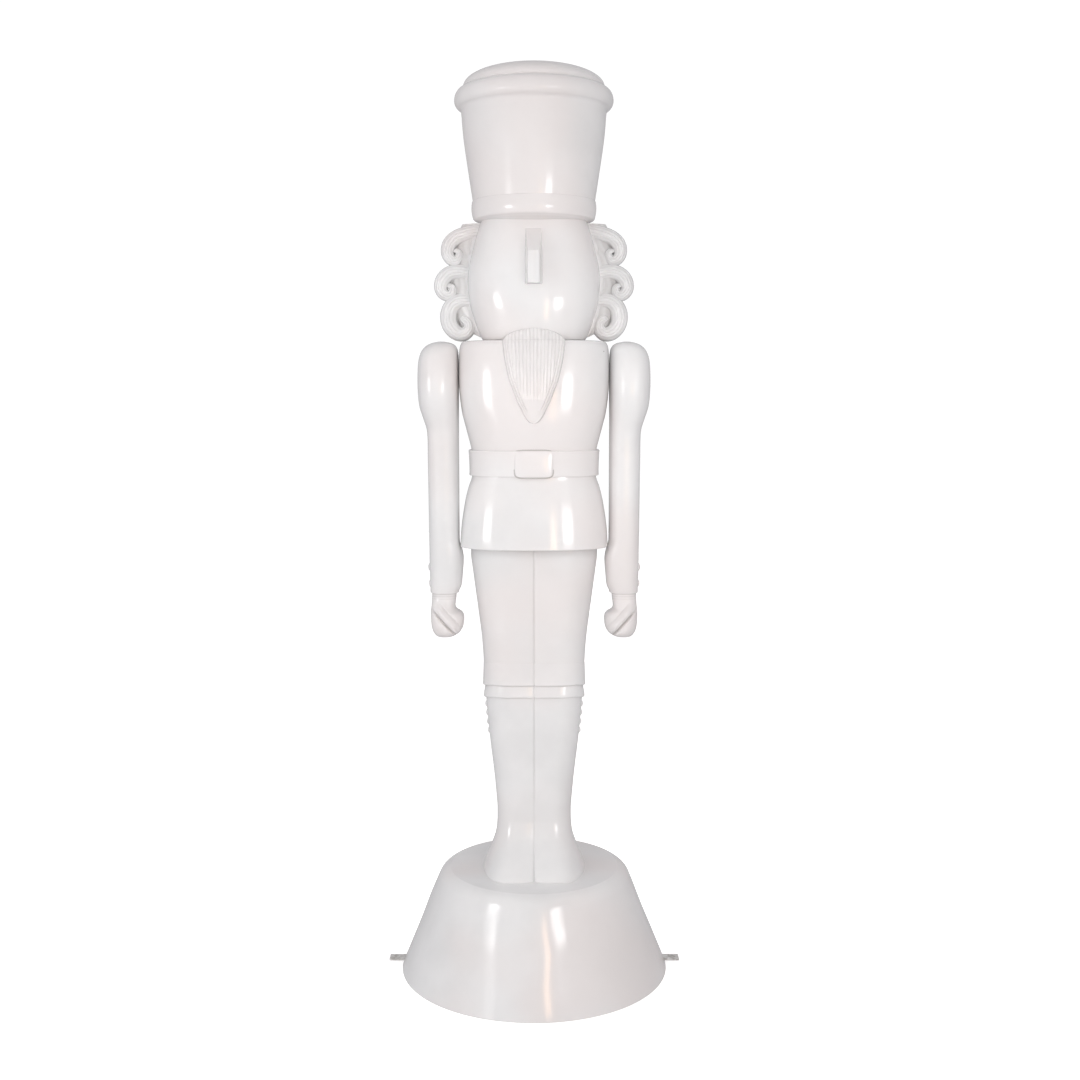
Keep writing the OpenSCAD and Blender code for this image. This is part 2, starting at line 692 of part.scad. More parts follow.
module hat_crown() {
    low = up(crown_low) + glue;
    rise = figure_h - low;
    function dome_line(off, n) = [for (i = [0:n]) let (t = 90 * i / n)
        [(crown_r * k - off) * power(cos(t), 2 / crown_square),
            low + (rise - off) * power(sin(t), 2 / crown_square)]];
    color("white") rotate_extrude() polygon(concat(dome_line(0, 18), reverse(dome_line(laminate, 18))));
}

base_shell();
base_board();
deck_board();
tie_down_bar();
bar_screws();
flange_screws();
foot_plate();
foot_bolts();
foot_washers();
foot_nuts();
upright(1);  // upright_left
upright(-1);  // upright_right
hip_cross_tube();
spine_tube();
shoulder_tube(1);  // shoulder_tube_left
shoulder_tube(-1);  // shoulder_tube_right
head_plate();
head_plate_screws();
legs_half(-1);  // legs_front_shell
legs_half(1);  // legs_back_shell
boot_cuff(0);  // boot_cuff_upper
boot_cuff(1);  // boot_cuff_lower
boot_buttons(1);  // boot_buttons_left
boot_buttons(-1);  // boot_buttons_right
hip_board();
coat_half(-1);  // coat_front_shell
coat_half(1);  // coat_back_shell
shoulder_board();
belt();
belt_buckle();
arm(1);  // arm_left
arm(-1);  // arm_right
sleeve_buttons(1);  // sleeve_buttons_left
sleeve_buttons(-1);  // sleeve_buttons_right
hand(1);  // hand_left
hand(-1);  // hand_right
head_half(-1);  // head_front_shell
head_half(1);  // head_back_shell
nose();
beard();
back_hair();
lock(lock_top, 1);  // hair_top_left
lock(lock_top, -1);  // hair_top_right
lock(lock_middle, 1);  // hair_middle_left
lock(lock_middle, -1);  // hair_middle_right
lock(lock_bottom, 1);  // hair_bottom_left
lock(lock_bottom, -1);  // hair_bottom_right
hat_board();
hat_shell();
hat_band();
hat_crown();
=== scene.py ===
"""Giant nutcracker soldier in white glass fibre: the finished surfaces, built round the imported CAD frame.

The frame is in metres with the floor at z = 0. The figure faces -y and its own left is +x.
Sizes in the sections below are millimetres. Their heights are above the deck of the base, except the base's
own, which are above the floor. The studio's sizes are metres.
"""

import bpy
import numpy as np
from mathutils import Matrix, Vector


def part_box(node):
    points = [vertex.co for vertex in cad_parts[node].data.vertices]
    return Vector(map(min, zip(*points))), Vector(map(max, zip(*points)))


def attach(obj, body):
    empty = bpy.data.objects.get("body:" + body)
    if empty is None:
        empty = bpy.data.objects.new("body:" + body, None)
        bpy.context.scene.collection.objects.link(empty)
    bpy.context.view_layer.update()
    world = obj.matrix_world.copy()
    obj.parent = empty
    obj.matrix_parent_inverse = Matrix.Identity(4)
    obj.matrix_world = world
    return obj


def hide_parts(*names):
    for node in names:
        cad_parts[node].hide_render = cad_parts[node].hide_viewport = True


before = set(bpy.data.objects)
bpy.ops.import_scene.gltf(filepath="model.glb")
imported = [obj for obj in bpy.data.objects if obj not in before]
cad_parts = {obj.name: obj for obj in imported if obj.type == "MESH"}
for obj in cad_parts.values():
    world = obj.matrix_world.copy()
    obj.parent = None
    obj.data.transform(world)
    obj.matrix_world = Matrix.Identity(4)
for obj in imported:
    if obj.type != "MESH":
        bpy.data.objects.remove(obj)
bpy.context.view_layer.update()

# ---- Base ----------------------------------------------------------------------------------------
# The base is a hollow cone of glass fibre, laid up by hand in a mould behind white gelcoat.
# Its wall is a little wavy, its shoulder rolls over to a flat deck, and a plywood disc closes it below.

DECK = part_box("base_shell")[1].z * 1000
FOOT_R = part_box("base_shell")[1].x * 1000
LAMINATE = 5
SHOULDER_R, SHOULDER_Z = 191.5, 208
DECK_R = 173


def linear(code):
    """An sRGB hex colour as the linear colour that a socket takes."""
    channels = np.array([int(code[i:i + 2], 16) for i in (0, 2, 4)]) / 255
    bright = ((channels + 0.055) / 1.055) ** 2.4
    return (*np.where(channels <= 0.04045, channels / 12.92, bright), 1.0)


def add(tree, kind, inputs=(), **settings):
    """A new node. Inputs maps a socket to its value, or to the output that feeds it."""
    made = tree.nodes.new("ShaderNode" + kind)
    for name, value in settings.items():
        setattr(made, name, value)
    for socket, value in dict(inputs).items():
        if isinstance(value, bpy.types.NodeSocket):
            tree.links.new(value, made.inputs[socket])
        else:
            made.inputs[socket].default_value = value
    return made


def ramp(tree, value, low, high, to_low=0.0, to_high=1.0):
    """A value taken smoothly from one range to another."""
    sockets = {"Value": value, "From Min": low, "From Max": high, "To Min": to_low, "To Max": to_high}
    return add(tree, "MapRange", sockets, interpolation_type="SMOOTHSTEP").outputs[0]


def mix(tree, factor, first, second):
    """Two colours mixed by a factor."""
    return add(tree, "Mix", {0: factor, 6: first, 7: second}, data_type="RGBA").outputs[2]


def total(tree, *terms):
    """The sum of several values."""
    found = terms[0]
    for term in terms[1:]:
        found = add(tree, "Math", {0: found, 1: term}, operation="ADD").outputs[0]
    return found


def scaled(tree, value, factor):
    """A value times a number."""
    return add(tree, "Math", {0: value, 1: factor}, operation="MULTIPLY").outputs[0]


def noise(tree, place, grain_mm, detail=2.0):
    """Noise whose lumps are about grain_mm across."""
    sockets = {"Vector": place, "Scale": 1000 / grain_mm, "Detail": detail}
    return add(tree, "TexNoise", sockets).outputs["Fac"]


# Distance between pinholes, before nine in ten are left out
PINHOLE_GAP = 46


def gelcoat(name, parting_line):
    """Polyester gelcoat off a polished mould: glossy, cloudy white, with the laminate's slow waves in its
    shine. Broad patches of it blush, its grooves and creases carry painted shade in grey, and it has a few
    pinholes.
    A moulding in two halves also has a rubbed-down parting line where they meet, at y = 0."""
    material = bpy.data.materials.new(name)
    material.use_nodes = True
    tree = material.node_tree
    surface = tree.nodes["Principled BSDF"]
    place = add(tree, "TexCoord").outputs["Object"]

    cloud = ramp(tree, noise(tree, place, 140, 4.0), 0.36, 0.66)
    blush = ramp(tree, noise(tree, place, 330), 0.42, 0.62)
    white = mix(tree, cloud, linear("ECECEC"), linear("E5E5E5"))
    white = mix(tree, scaled(tree, blush, 0.6), white, linear("EBE4E2"))
    # Painted shade: the darkening each piece marks in its grooves, creases and cavities is mixed in as grey,
    # and it also roughens the shine a little.
    painted_shade = add(tree, "Attribute", attribute_name="recess_shade").outputs["Fac"]
    white = mix(tree, scaled(tree, painted_shade, 0.85), white, linear("A9A4A0"))
    holes = add(tree, "TexVoronoi", {"Vector": place, "Scale": 1000 / PINHOLE_GAP})
    pin = ramp(tree, holes.outputs["Distance"], 0.018, 0.032, 1.0, 0.0)
    chosen = ramp(tree, add(tree, "SeparateColor", {0: holes.outputs["Color"]}).outputs[0], 0.9, 0.92)
    pin = add(tree, "Math", {0: pin, 1: chosen}, operation="MULTIPLY").outputs[0]
    tree.links.new(mix(tree, pin, white, linear("6E655E")), surface.inputs["Base Color"])

    haze = ramp(tree, noise(tree, place, 60, 5.0), 0.35, 0.7, 0.1, 0.17)
    tree.links.new(total(tree, haze, scaled(tree, painted_shade, 0.3)), surface.inputs["Roughness"])
    surface.inputs["IOR"].default_value = 1.52
    surface.inputs["Subsurface Weight"].default_value = 0.06
    surface.inputs["Subsurface Scale"].default_value = 0.004
    surface.inputs["Subsurface Radius"].default_value = (1.0, 1.0, 1.0)

    waves = scaled(tree, noise(tree, place, 95, 0.0), 0.55)
    print_through = scaled(tree, noise(tree, place, 14, 1.0), 0.035)
    peel = scaled(tree, noise(tree, place, 3.2, 0.0), 0.006)
    relief = total(tree, waves, print_through, peel, scaled(tree, pin, -0.3))
    if parting_line:
        depth = add(tree, "SeparateXYZ", {0: place}).outputs[1]
        off_line = add(tree, "Math", {0: depth}, operation="ABSOLUTE").outputs[0]
        relief = total(tree, relief, ramp(tree, off_line, 0.0003, 0.0022, 0.1, 0.0))
    bump = add(tree, "Bump", {"Height": relief, "Distance": 0.001})
    tree.links.new(bump.outputs[0], surface.inputs["Normal"])
    return material


BASE_GELCOAT = gelcoat("gelcoat_hand_laid_white", parting_line=False)
FIGURE_GELCOAT = gelcoat("gelcoat_two_part_mould_white", parting_line=True)


def skin(name, grid, poles=(True, True), recess_shade=None):
    """A piece from a grid of points, in millimetres, whose columns close into rings.
    A pole closes an end with a fan to its middle. Without poles the last ring joins the first."""
    rows, columns = grid.shape[:2]
    points = grid.reshape(-1, 3)
    corner = np.arange(rows * columns).reshape(rows, columns)
    beside = np.roll(corner, -1, axis=1)
    if not any(poles):
        corner, beside = np.vstack([corner, corner[:1]]), np.vstack([beside, beside[:1]])
    quads = np.stack([corner[:-1], beside[:-1], beside[1:], corner[1:]], axis=2).reshape(-1, 4)
    faces = quads.tolist()
    for end, first in ((0, True), (-1, False)):
        if poles[end]:
            points = np.vstack([points, grid[end].mean(axis=0)])
            middle = np.full(columns, len(points) - 1)
            fan = [beside[end], corner[end], middle] if first else [corner[end], beside[end], middle]
            faces += np.stack(fan, axis=1).tolist()
    mesh = bpy.data.meshes.new(name)
    mesh.from_pydata((points / 1000).tolist(), [], faces)
    triangles = np.array([face[:3] for face in faces])
    a, b, c = (points[triangles[:, i]] - points.mean(axis=0) for i in range(3))
    if np.einsum("ij,ij->i", a, np.cross(b, c)).sum() < 0:
        mesh.flip_normals()
    # Each point's share of painted shade, which darkens it in the gelcoat; zero where none is given.
    depth = np.zeros(len(points), np.float32)
    if recess_shade is not None:
        depth[:rows * columns] = recess_shade.ravel()
    mesh.attributes.new("recess_shade", "FLOAT", "POINT").data.foreach_set("value", depth)
    mesh.shade_smooth()
    mesh.set_sharp_from_angle(angle=np.radians(38))
    piece = bpy.data.objects.new(f"{name}_skin", mesh)
    bpy.context.scene.collection.objects.link(piece)
    return piece


def fit(piece, material, slot, *nodes):
    """Fixes a finished piece to the figure, in the place of the CAD nodes it stands for."""
    piece.data.materials.append(material)
    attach(piece, "root")
    if nodes:
        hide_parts(*nodes)


def path(corners, step=1e9):
    """A line through the corners (x, y, radius): straight runs, each corner rounded by an arc of its radius.
    Straight runs are cut into pieces no longer than step."""
    spots = np.array([c[:2] for c in corners], float)
    found = [spots[:1]]
    for i, corner in enumerate(corners[1:-1], 1):
        if corner[2] == 0:
            found.append(spots[i:i + 1])
            continue
        back, on = spots[i - 1] - spots[i], spots[i + 1] - spots[i]
        back, on = back / np.hypot(*back), on / np.hypot(*on)
        half = np.arccos(np.clip(back @ on, -1, 1)) / 2
        centre = spots[i] + (back + on) / np.hypot(*(back + on)) * corner[2] / np.sin(half)
        ends = [spots[i] + way * corner[2] / np.tan(half) - centre for way in (back, on)]
        share = np.linspace(0, 1, 9)[:, None]
        arc = ends[0] * (1 - share) + ends[1] * share
        found.append(centre + arc / np.hypot(arc[:, :1], arc[:, 1:]) * corner[2])
    found.append(spots[-1:])
    line = np.vstack(found)
    cuts = [
        np.linspace(a, b, int(np.hypot(*(b - a)) / step) + 1, endpoint=False)
        for a, b in zip(line, line[1:])
    ]
    return np.vstack(cuts + [line[-1:]])


def turned(line, columns=320):
    """A piece turned round the z axis: each point (radius, height) of the line makes a ring."""
    angle = np.arange(columns) * 2 * np.pi / columns
    radius, height = line[:, :1], line[:, 1:]
    return np.stack([radius * np.cos(angle), radius * np.sin(angle), height + 0 * angle], axis=2)


inner_foot = FOOT_R - LAMINATE - 0.4
base_line = path([
    (1, DECK - LAMINATE, 0), (SHOULDER_R - 22, DECK - LAMINATE, 12), (inner_foot, 0, 1), (FOOT_R, 0, 1.2),
    (SHOULDER_R, SHOULDER_Z, 32), (DECK_R, DECK, 3.5), (1, DECK, 0)
], step=7)
base = turned(base_line, 360)
turn, rise = np.arctan2(base[..., 1], base[..., 0]), base[..., 2]
# The wall's slow waves fade out at the floor and at the deck
wall = np.clip(rise / 25, 0, 1) * np.clip((DECK - rise) / 20, 0, 1)
wave = (
    0.35 * np.sin(7 * turn + rise / 31) + 0.3 * np.sin(4 * turn - rise / 23 + 2)
    + 0.22 * np.sin(12 * turn - rise / 15)
)
base[..., :2] *= 1 + (wave * wall / np.hypot(base[..., 0], base[..., 1]))[..., None]
fit(skin("base", base), BASE_GELCOAT, "gelcoat", "base_shell")

# ---- Tie-down bar and fasteners ------------------------------------------------------------------
# One length of galvanised steel flat runs through the base, drilled at both ends for a peg or a screw.
# Screws, nuts, bolts and washers are zinc-plated, and stay as the CAD made them.


def steel(name, fresh, dull, roughness, grain_mm, rust):
    """Steel whose finish is patchy at grain_mm, with fine rolling marks and some rust."""
    material = bpy.data.materials.new(name)
    material.use_nodes = True
    tree = material.node_tree
    surface = tree.nodes["Principled BSDF"]
    place = add(tree, "TexCoord").outputs["Object"]
    patch = ramp(tree, noise(tree, place, grain_mm, 6.0), 0.4, 0.62)
    colour = mix(tree, patch, linear(fresh), linear(dull))
    stain = ramp(tree, noise(tree, place, 9, 8.0), 0.66 - 0.14 * rust, 0.74 - 0.1 * rust)
    colour = mix(tree, scaled(tree, stain, rust), colour, linear("7A4A30"))
    tree.links.new(colour, surface.inputs["Base Color"])
    surface.inputs["Metallic"].default_value = 0.45
    rough = ramp(tree, patch, 0.0, 1.0, roughness, roughness + 0.18)
    tree.links.new(total(tree, rough, scaled(tree, stain, 0.3 * rust)), surface.inputs["Roughness"])
    stretched = add(tree, "Mapping", {"Vector": place, "Scale": (0.05, 1.0, 1.0)}).outputs[0]
    marks = scaled(tree, noise(tree, stretched, 1.5, 3.0), 0.05)
    bump = add(tree, "Bump", {"Height": total(tree, marks, scaled(tree, stain, 0.08)), "Distance": 0.001})
    tree.links.new(bump.outputs[0], surface.inputs["Normal"])
    return material


def dress(material, *nodes):
    """Gives CAD nodes that stay in view their material."""
    for node in nodes:
        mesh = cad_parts[node].data
        mesh.materials.clear()
        mesh.materials.append(material)


# Galvanised flat: spangled light grey, dulled by handling, with a little rust in patches
BAR_STEEL = steel("steel_galvanised_flat_bar", "E4E3E1", "C2C0BC", 0.42, 11, 0.3)
dress(BAR_STEEL, "tie_down_bar")
# Zinc plating: bright and slightly blue, evenly fine
ZINC = steel("steel_zinc_plated", "C9CCD1", "A9ACB2", 0.26, 5, 0.0)
dress(ZINC, "bar_screws", "flange_screws", "foot_bolts", "foot_washers", "foot_nuts", "head_plate_screws")

# ---- Boards and armature -------------------------------------------------------------------------
# Plywood discs stiffen the base, hips, shoulders and hat. A welded frame of square steel tube, primed grey,
# stands on the foot plate and holds them. All of it is out of sight but the underside of the base board.


def plywood():
    """Birch plywood: pale faces with long brown figure along x, and dark glue lines up the edge. The lines
    are about 9 mm apart, coarser than the 1.5 mm of real plies."""
    material = bpy.data.materials.new("birch_plywood_sanded")
    material.use_nodes = True
    tree = material.node_tree
    surface = tree.nodes["Principled BSDF"]
    place = add(tree, "TexCoord").outputs["Object"]
    grain_place = add(tree, "Mapping", {"Vector": place, "Scale": (0.06, 1.0, 1.0)}).outputs[0]
    figure = ramp(tree, noise(tree, grain_place, 8, 6.0), 0.38, 0.64)
    wood = mix(tree, figure, linear("D9BC8C"), linear("B98F5C"))
    bands = {"Vector": place, "Scale": 1000 / 30}
    plies = add(tree, "TexWave", bands, bands_direction="Z").outputs["Fac"]
    glue = ramp(tree, plies, 0.06, 0.0)
    tree.links.new(mix(tree, scaled(tree, glue, 0.6), wood, linear("6B4A2C")), surface.inputs["Base Color"])
    tree.links.new(ramp(tree, figure, 0.0, 1.0, 0.5, 0.68), surface.inputs["Roughness"])
    bump = add(tree, "Bump", {"Height": scaled(tree, figure, 0.12), "Distance": 0.001})
    tree.links.new(bump.outputs[0], surface.inputs["Normal"])
    return material


def primer():
    """Grey zinc-phosphate primer brushed on tube: flat and even, with darker steel in thin patches."""
    material = bpy.data.materials.new("steel_grey_primer")
    material.use_nodes = True
    tree = material.node_tree
    surface = tree.nodes["Principled BSDF"]
    place = add(tree, "TexCoord").outputs["Object"]
    thin = ramp(tree, noise(tree, place, 34, 5.0), 0.45, 0.7)
    tree.links.new(mix(tree, thin, linear("8D9092"), linear("6C6E70")), surface.inputs["Base Color"])
    tree.links.new(ramp(tree, thin, 0.0, 1.0, 0.62, 0.5), surface.inputs["Roughness"])
    brushed = add(tree, "Mapping", {"Vector": place, "Scale": (1.0, 1.0, 0.08)}).outputs[0]
    bump = add(tree, "Bump", {"Height": scaled(tree, noise(tree, brushed, 1.8), 0.05), "Distance": 0.001})
    tree.links.new(bump.outputs[0], surface.inputs["Normal"])
    return material


dress(plywood(), "base_board", "deck_board", "hip_board", "shoulder_board", "hat_board")
dress(
    primer(), "foot_plate", "upright_left", "upright_right", "hip_cross_tube", "spine_tube",
    "shoulder_tube_left", "shoulder_tube_right", "head_plate"
)

# ---- Legs ----------------------------------------------------------------------------------------
# Both legs are one hollow moulding in two halves, shown here as its outer skin: straight trousers, boots and
# feet that stand together. A narrow cleft runs down the front and the back, shallow above the feet.

# Height, half width, depth to the front, depth to the back, depth at the cleft over depth
LEGS = [
    [-2, 105, 116, 72, 0.88], [1.5, 105, 117, 72, 0.88], [7, 103.4, 114.5, 70.5, 0.88],
    [13, 101, 110, 69, 0.88], [25, 96.5, 98, 66, 0.88], [45, 88, 76, 59, 0.89], [66, 80.5, 56, 51, 0.9],
    [80, 77.6, 49.4, 47, 0.91], [98, 76, 43.2, 43.3, 0.92], [104, 75.8, 42, 42.6, 0.92],
    [127, 76, 41.5, 41.5, 0.93], [195, 82, 43.5, 46, 0.93], [263, 90, 46.5, 52, 0.94],
    [330, 96.5, 49.5, 55, 0.94], [397, 101, 52, 56, 0.94], [475, 106, 55, 57, 0.95],
    [525, 112, 58, 59, 0.95], [624, 125, 64, 63, 0.95], [652, 128, 66, 65, 0.96], [745, 122, 64, 63, 0.96]
]
CLEFT_DEPTH, CLEFT_HALF = 1.0, 1.8


def flow(table, heights):
    """The columns of a table at the heights: a smooth curve through its rows, whose slope at each row is
    that from the row before to the row after."""
    table, heights = np.array(table, float), np.asarray(heights, float)
    count = len(table)
    before, after = np.maximum(np.arange(count) - 1, 0), np.minimum(np.arange(count) + 1, count - 1)
    slope = (table[after, 1:] - table[before, 1:]) / (table[after, :1] - table[before, :1])
    i = np.clip(np.searchsorted(table[:, 0], heights, side="right") - 1, 0, count - 2)
    gap = (table[i + 1, 0] - table[i, 0])[..., None]
    t = (heights - table[i, 0])[..., None] / gap
    return ((2 * t**3 - 3 * t**2 + 1) * table[i, 1:] + (t**3 - 2 * t**2 + t) * gap * slope[i]
            + (3 * t**2 - 2 * t**3) * table[i + 1, 1:] + (t**3 - t**2) * gap * slope[i + 1])


def leg_skin(heights, off=0.0, columns=72):
    """The two legs' outline at a grid of heights, grown by off, and painted shade in the cleft. Each leg is a
    half ellipse in front and one behind, whose inner quarter rises from the cleft's depth instead of from
    zero.
    The feet are a little squarer in plan than the legs."""
    t = np.pi * (np.arange(columns) + 0.5) / columns
    lobe = np.repeat([-1, 1, 1, -1], columns)
    side = np.repeat([-1, -1, 1, 1], columns)
    t = np.concatenate([t, t, t[::-1], t[::-1]])
    heights = np.broadcast_to(np.asarray(heights, float), (len(heights), 4 * columns))
    width, front, back, share = np.moveaxis(flow(LEGS, heights), -1, 0)
    half, depth = width / 2, np.where(side < 0, front, back) + off
    round_plan = 0.84 + 0.16 * np.clip((heights - 10) / 80, 0, 1)
    across = -np.sign(np.cos(t)) * np.abs(np.cos(t)) ** round_plan
    inner = lobe * across < 0
    x = lobe * half + across * np.where(inner, half, half + off)
    cleft = depth * share
    y = np.where(inner, cleft + (depth - cleft) * np.sin(t), depth * np.sin(t))
    above_feet = np.clip((heights - 130) / 60, 0, 1)
    y = y - CLEFT_DEPTH * np.exp(-(x / CLEFT_HALF) ** 2) * above_feet
    return np.stack([x, side * y, DECK + heights], axis=2), np.exp(-(x / 2.2) ** 2) * above_feet


leg_rows = np.concatenate([np.linspace(-2, 40, 40), np.linspace(41, 745, 200)])[:, None]
legs, cleft_shade = leg_skin(leg_rows)
# The cleft down the front and the back is darkened with painted shade.
fit(
    skin("legs", legs, recess_shade=0.12 * cleft_shade), FIGURE_GELCOAT, "gelcoat",
    "legs_front_shell", "legs_back_shell"
)

# ---- Boot cuffs and buttons ----------------------------------------------------------------------
# Two turned bands run round the boot tops, each swelling downwards to a rolled lower edge that is higher
# at the front than at the sides. Four small domed buttons run down the outside of each boot.

# Height of the upper and of the lower edge at the sides
CUFFS = {"boot_cuff_upper": (426, 379), "boot_cuff_lower": (378, 354)}
CUFF_RISE = 7
BUTTON_HEIGHTS = [340, 322, 303, 285]


def cuff(high, low):
    """A band round both legs and the painted shadow under it: its section, thin at the top and rolled at the
    bottom, carried round the legs' outline."""
    section = path([
        (-1, high, 0), (0.5, high, 0.2), (4.2, low + 8, 9), (5.4, low, 2.6), (-1, low + 1.5, 0)
    ], step=4)
    flat = leg_skin(section[:, 1:])[0]
    lift = CUFF_RISE * np.clip(np.abs(flat[..., 1]) / 40, 0, 1) ** 1.5
    heights = section[:, 1:] + lift
    skins = [leg_skin(heights, off)[0] for off in (0.0, 1.0)]
    grid = skins[0] + (skins[1] - skins[0]) * section[:, :1, None]
    # Painted shadow lies under the lower edge
    return grid, 0.8 * (section[:, 1:] < low + 1.4) + 0 * lift


for name, (high, low) in CUFFS.items():
    band, under = cuff(high, low)
    fit(skin(name, band, poles=(False, False), recess_shade=under), FIGURE_GELCOAT, "gelcoat", name)


def domes(name, places, radius, rise):
    """Domed buttons on a side of the figure: each a quarter oval turned round the x axis, on a thin raised
    foot. Places are (side, distance from the middle, height). All of them are one piece."""
    line = np.array([[radius * np.cos(t), rise * np.sin(t)] for t in np.linspace(0, np.pi / 2 * 0.97, 12)])
    line = np.vstack([[radius + 0.9, -2.5], [radius + 0.9, 0.4], [radius + 0.3, 0.9], line + [0, 0.4]])
    ring = turned(line, 32)
    made = []
    for side, x, height in places:
        grid = np.stack([side * (x + ring[..., 2]), ring[..., 0], DECK + height + ring[..., 1]], axis=2)
        made.append(skin(name, grid))
    with bpy.context.temp_override(object=made[0], active_object=made[0], selected_editable_objects=made):
        bpy.ops.object.join()
    return made[0]


for side, word in ((1, "left"), (-1, "right")):
    places = [(side, flow(LEGS, h)[0] - 0.6, h) for h in BUTTON_HEIGHTS]
    fit(domes(f"boot_buttons_{word}", places, 6, 3.4), FIGURE_GELCOAT, "gelcoat", f"boot_buttons_{word}")

# ---- Coat ----------------------------------------------------------------------------------------
# The coat is moulded as a front and a back half and joined at the sides. Its hem is a rounded free edge
# standing off the legs, its waist is drawn in under the belt, and the chest rises nearly upright.

# Height, half width, depth to the front, depth to the back
COAT = [
    [665, 149, 96, 92], [690, 147.5, 94.5, 90], [717, 145, 92, 88], [758, 138.5, 88, 84],
    [786, 131.5, 85, 80.5], [803, 125.5, 83.5, 78], [820, 122.5, 83, 77], [840, 122.5, 84.5, 77.5],
    [863, 126, 89, 80], [883, 131, 94.5, 84], [910, 138, 99.5, 88.5], [935, 144, 101.5, 92],
    [985, 149.5, 103, 96], [1030, 149.8, 103, 96.5], [1051, 149, 101.5, 95], [1064, 147.5, 99.5, 93.5],
    [1071, 144.5, 96, 90], [1074, 140.5, 91, 85], [1075, 132, 82, 77]
]
COAT_SQUARE = 2.5
HEM = COAT[0][0]


def squared(width, front, back, square, columns):
    """Outlines like an oval with squared shoulders: at each angle the distance at which
    (x / width) ^ square + (y / depth) ^ square is 1. Sizes may be arrays of rows."""
    width, front, back = (np.asarray(v, float).reshape(-1, 1) for v in (width, front, back))
    angle = (np.arange(columns) + 0.5) * 2 * np.pi / columns
    c, s = np.cos(angle), np.sin(angle)
    depth = np.where(s < 0, front, back)
    reach = (np.abs(c / width) ** square + np.abs(s / depth) ** square) ** (-1 / square)
    return reach * c, reach * s


def coat_skin(heights, off=0.0, columns=300):
    """The coat's outline at each height, grown by off."""
    sizes = flow(COAT, np.asarray(heights, float).ravel())
    x, y = squared(*(sizes[:, i] + np.ravel(off) for i in range(3)), COAT_SQUARE, columns)
    return np.stack([x, y, DECK + np.reshape(heights, (-1, 1)) + 0 * x], axis=2)


hem_lip = path([(-LAMINATE, HEM + 12, 0), (-LAMINATE, HEM, 2.2), (0, HEM, 2.2), (0, HEM + 12, 0)], step=3)
inside = coat_skin(np.linspace(760, HEM + 14, 12), -LAMINATE)
lip = coat_skin(hem_lip[:, 1], hem_lip[:, 0])
outside = coat_skin(np.concatenate([
    np.linspace(HEM + 14, 1045, 110), 1045 + 30 * np.sin(np.linspace(0.05, 1.57, 24))
]))
fit(
    skin("coat", np.concatenate([inside, lip, outside])), FIGURE_GELCOAT, "gelcoat",
    "coat_front_shell", "coat_back_shell"
)

# ---- Belt and buckle -----------------------------------------------------------------------------
# The belt is a raised band bonded round the waist with a crisp step above and below. The buckle is a
# thicker plate with rounded corners, standing a little above and below the belt at the front.

BELT_LOW, BELT_HIGH, BELT_T = 809, 860, 7
BUCKLE_W, BUCKLE_H, BUCKLE_T = 75, 53, 5

belt_section = path([
    (-2, BELT_LOW, 0), (BELT_T - 0.8, BELT_LOW, 2.2), (BELT_T + 1.7, (BELT_LOW + BELT_HIGH) / 2, 150),
    (BELT_T - 0.8, BELT_HIGH, 2.2), (-2, BELT_HIGH, 0)
], step=3)
belt = coat_skin(belt_section[:, 1], belt_section[:, 0])
fit(skin("belt", belt, poles=(False, False)), FIGURE_GELCOAT, "gelcoat", "belt")


def chest_front(x, height):
    """How far forward the coat stands at x."""
    width, front, _ = np.moveaxis(flow(COAT, np.minimum(height, COAT[-3][0])), -1, 0)
    return front * np.clip(1 - np.abs(x / width) ** COAT_SQUARE, 0, 1) ** (1 / COAT_SQUARE)


def plate(width, height, square, steps, front, columns=240):
    """A plate lying on a curved front: its squared outline drawn in by each step's first number and raised by
    its second. Front gives the surface under it at (x, height)."""
    angle = (np.arange(columns) + 0.5) * 2 * np.pi / columns
    c, s = np.cos(angle), np.sin(angle)
    reach = (np.abs(c) ** square + np.abs(s) ** square) ** (-1 / square)
    inset, lift = (np.array(steps)[:, i:i + 1] for i in (0, 1))
    x, z = (width / 2 - inset) * reach * c, (height / 2 - inset) * reach * s
    return x, z, front(x, z) + lift


belt_middle = (BELT_LOW + BELT_HIGH) / 2
x, z, reach = plate(
    BUCKLE_W, BUCKLE_H, 6.5,
    [(-2.2, -3), (-1.9, 1.2), (-1, 0.9), (0, 1.2), (0.3, BUCKLE_T - 1.9), (0.9, BUCKLE_T - 0.9),
     (2.4, BUCKLE_T - 0.3), (12, BUCKLE_T + 0.2), (26, BUCKLE_T + 0.4)],
    lambda x, z: chest_front(x, belt_middle + 0 * z) + BELT_T - 1
)
# Painted shade lies in the groove round the buckle
groove_shade = np.array([0, 0.5, 0.9, 0.9, 0.2, 0, 0, 0, 0])[:, None]
fit(
    skin("belt_buckle", np.stack([x, -reach, DECK + belt_middle + z], axis=2), recess_shade=groove_shade + 0 * x),
    FIGURE_GELCOAT, "gelcoat", "belt_buckle"
)

# ---- Arms ----------------------------------------------------------------------------------------
# Each arm is a hollow moulding bonded to the coat's side: a puffed shoulder drawn in with a soft fold above
# a straight sleeve, which flares a little and then draws in to the wrist. Two domed buttons sit near it.

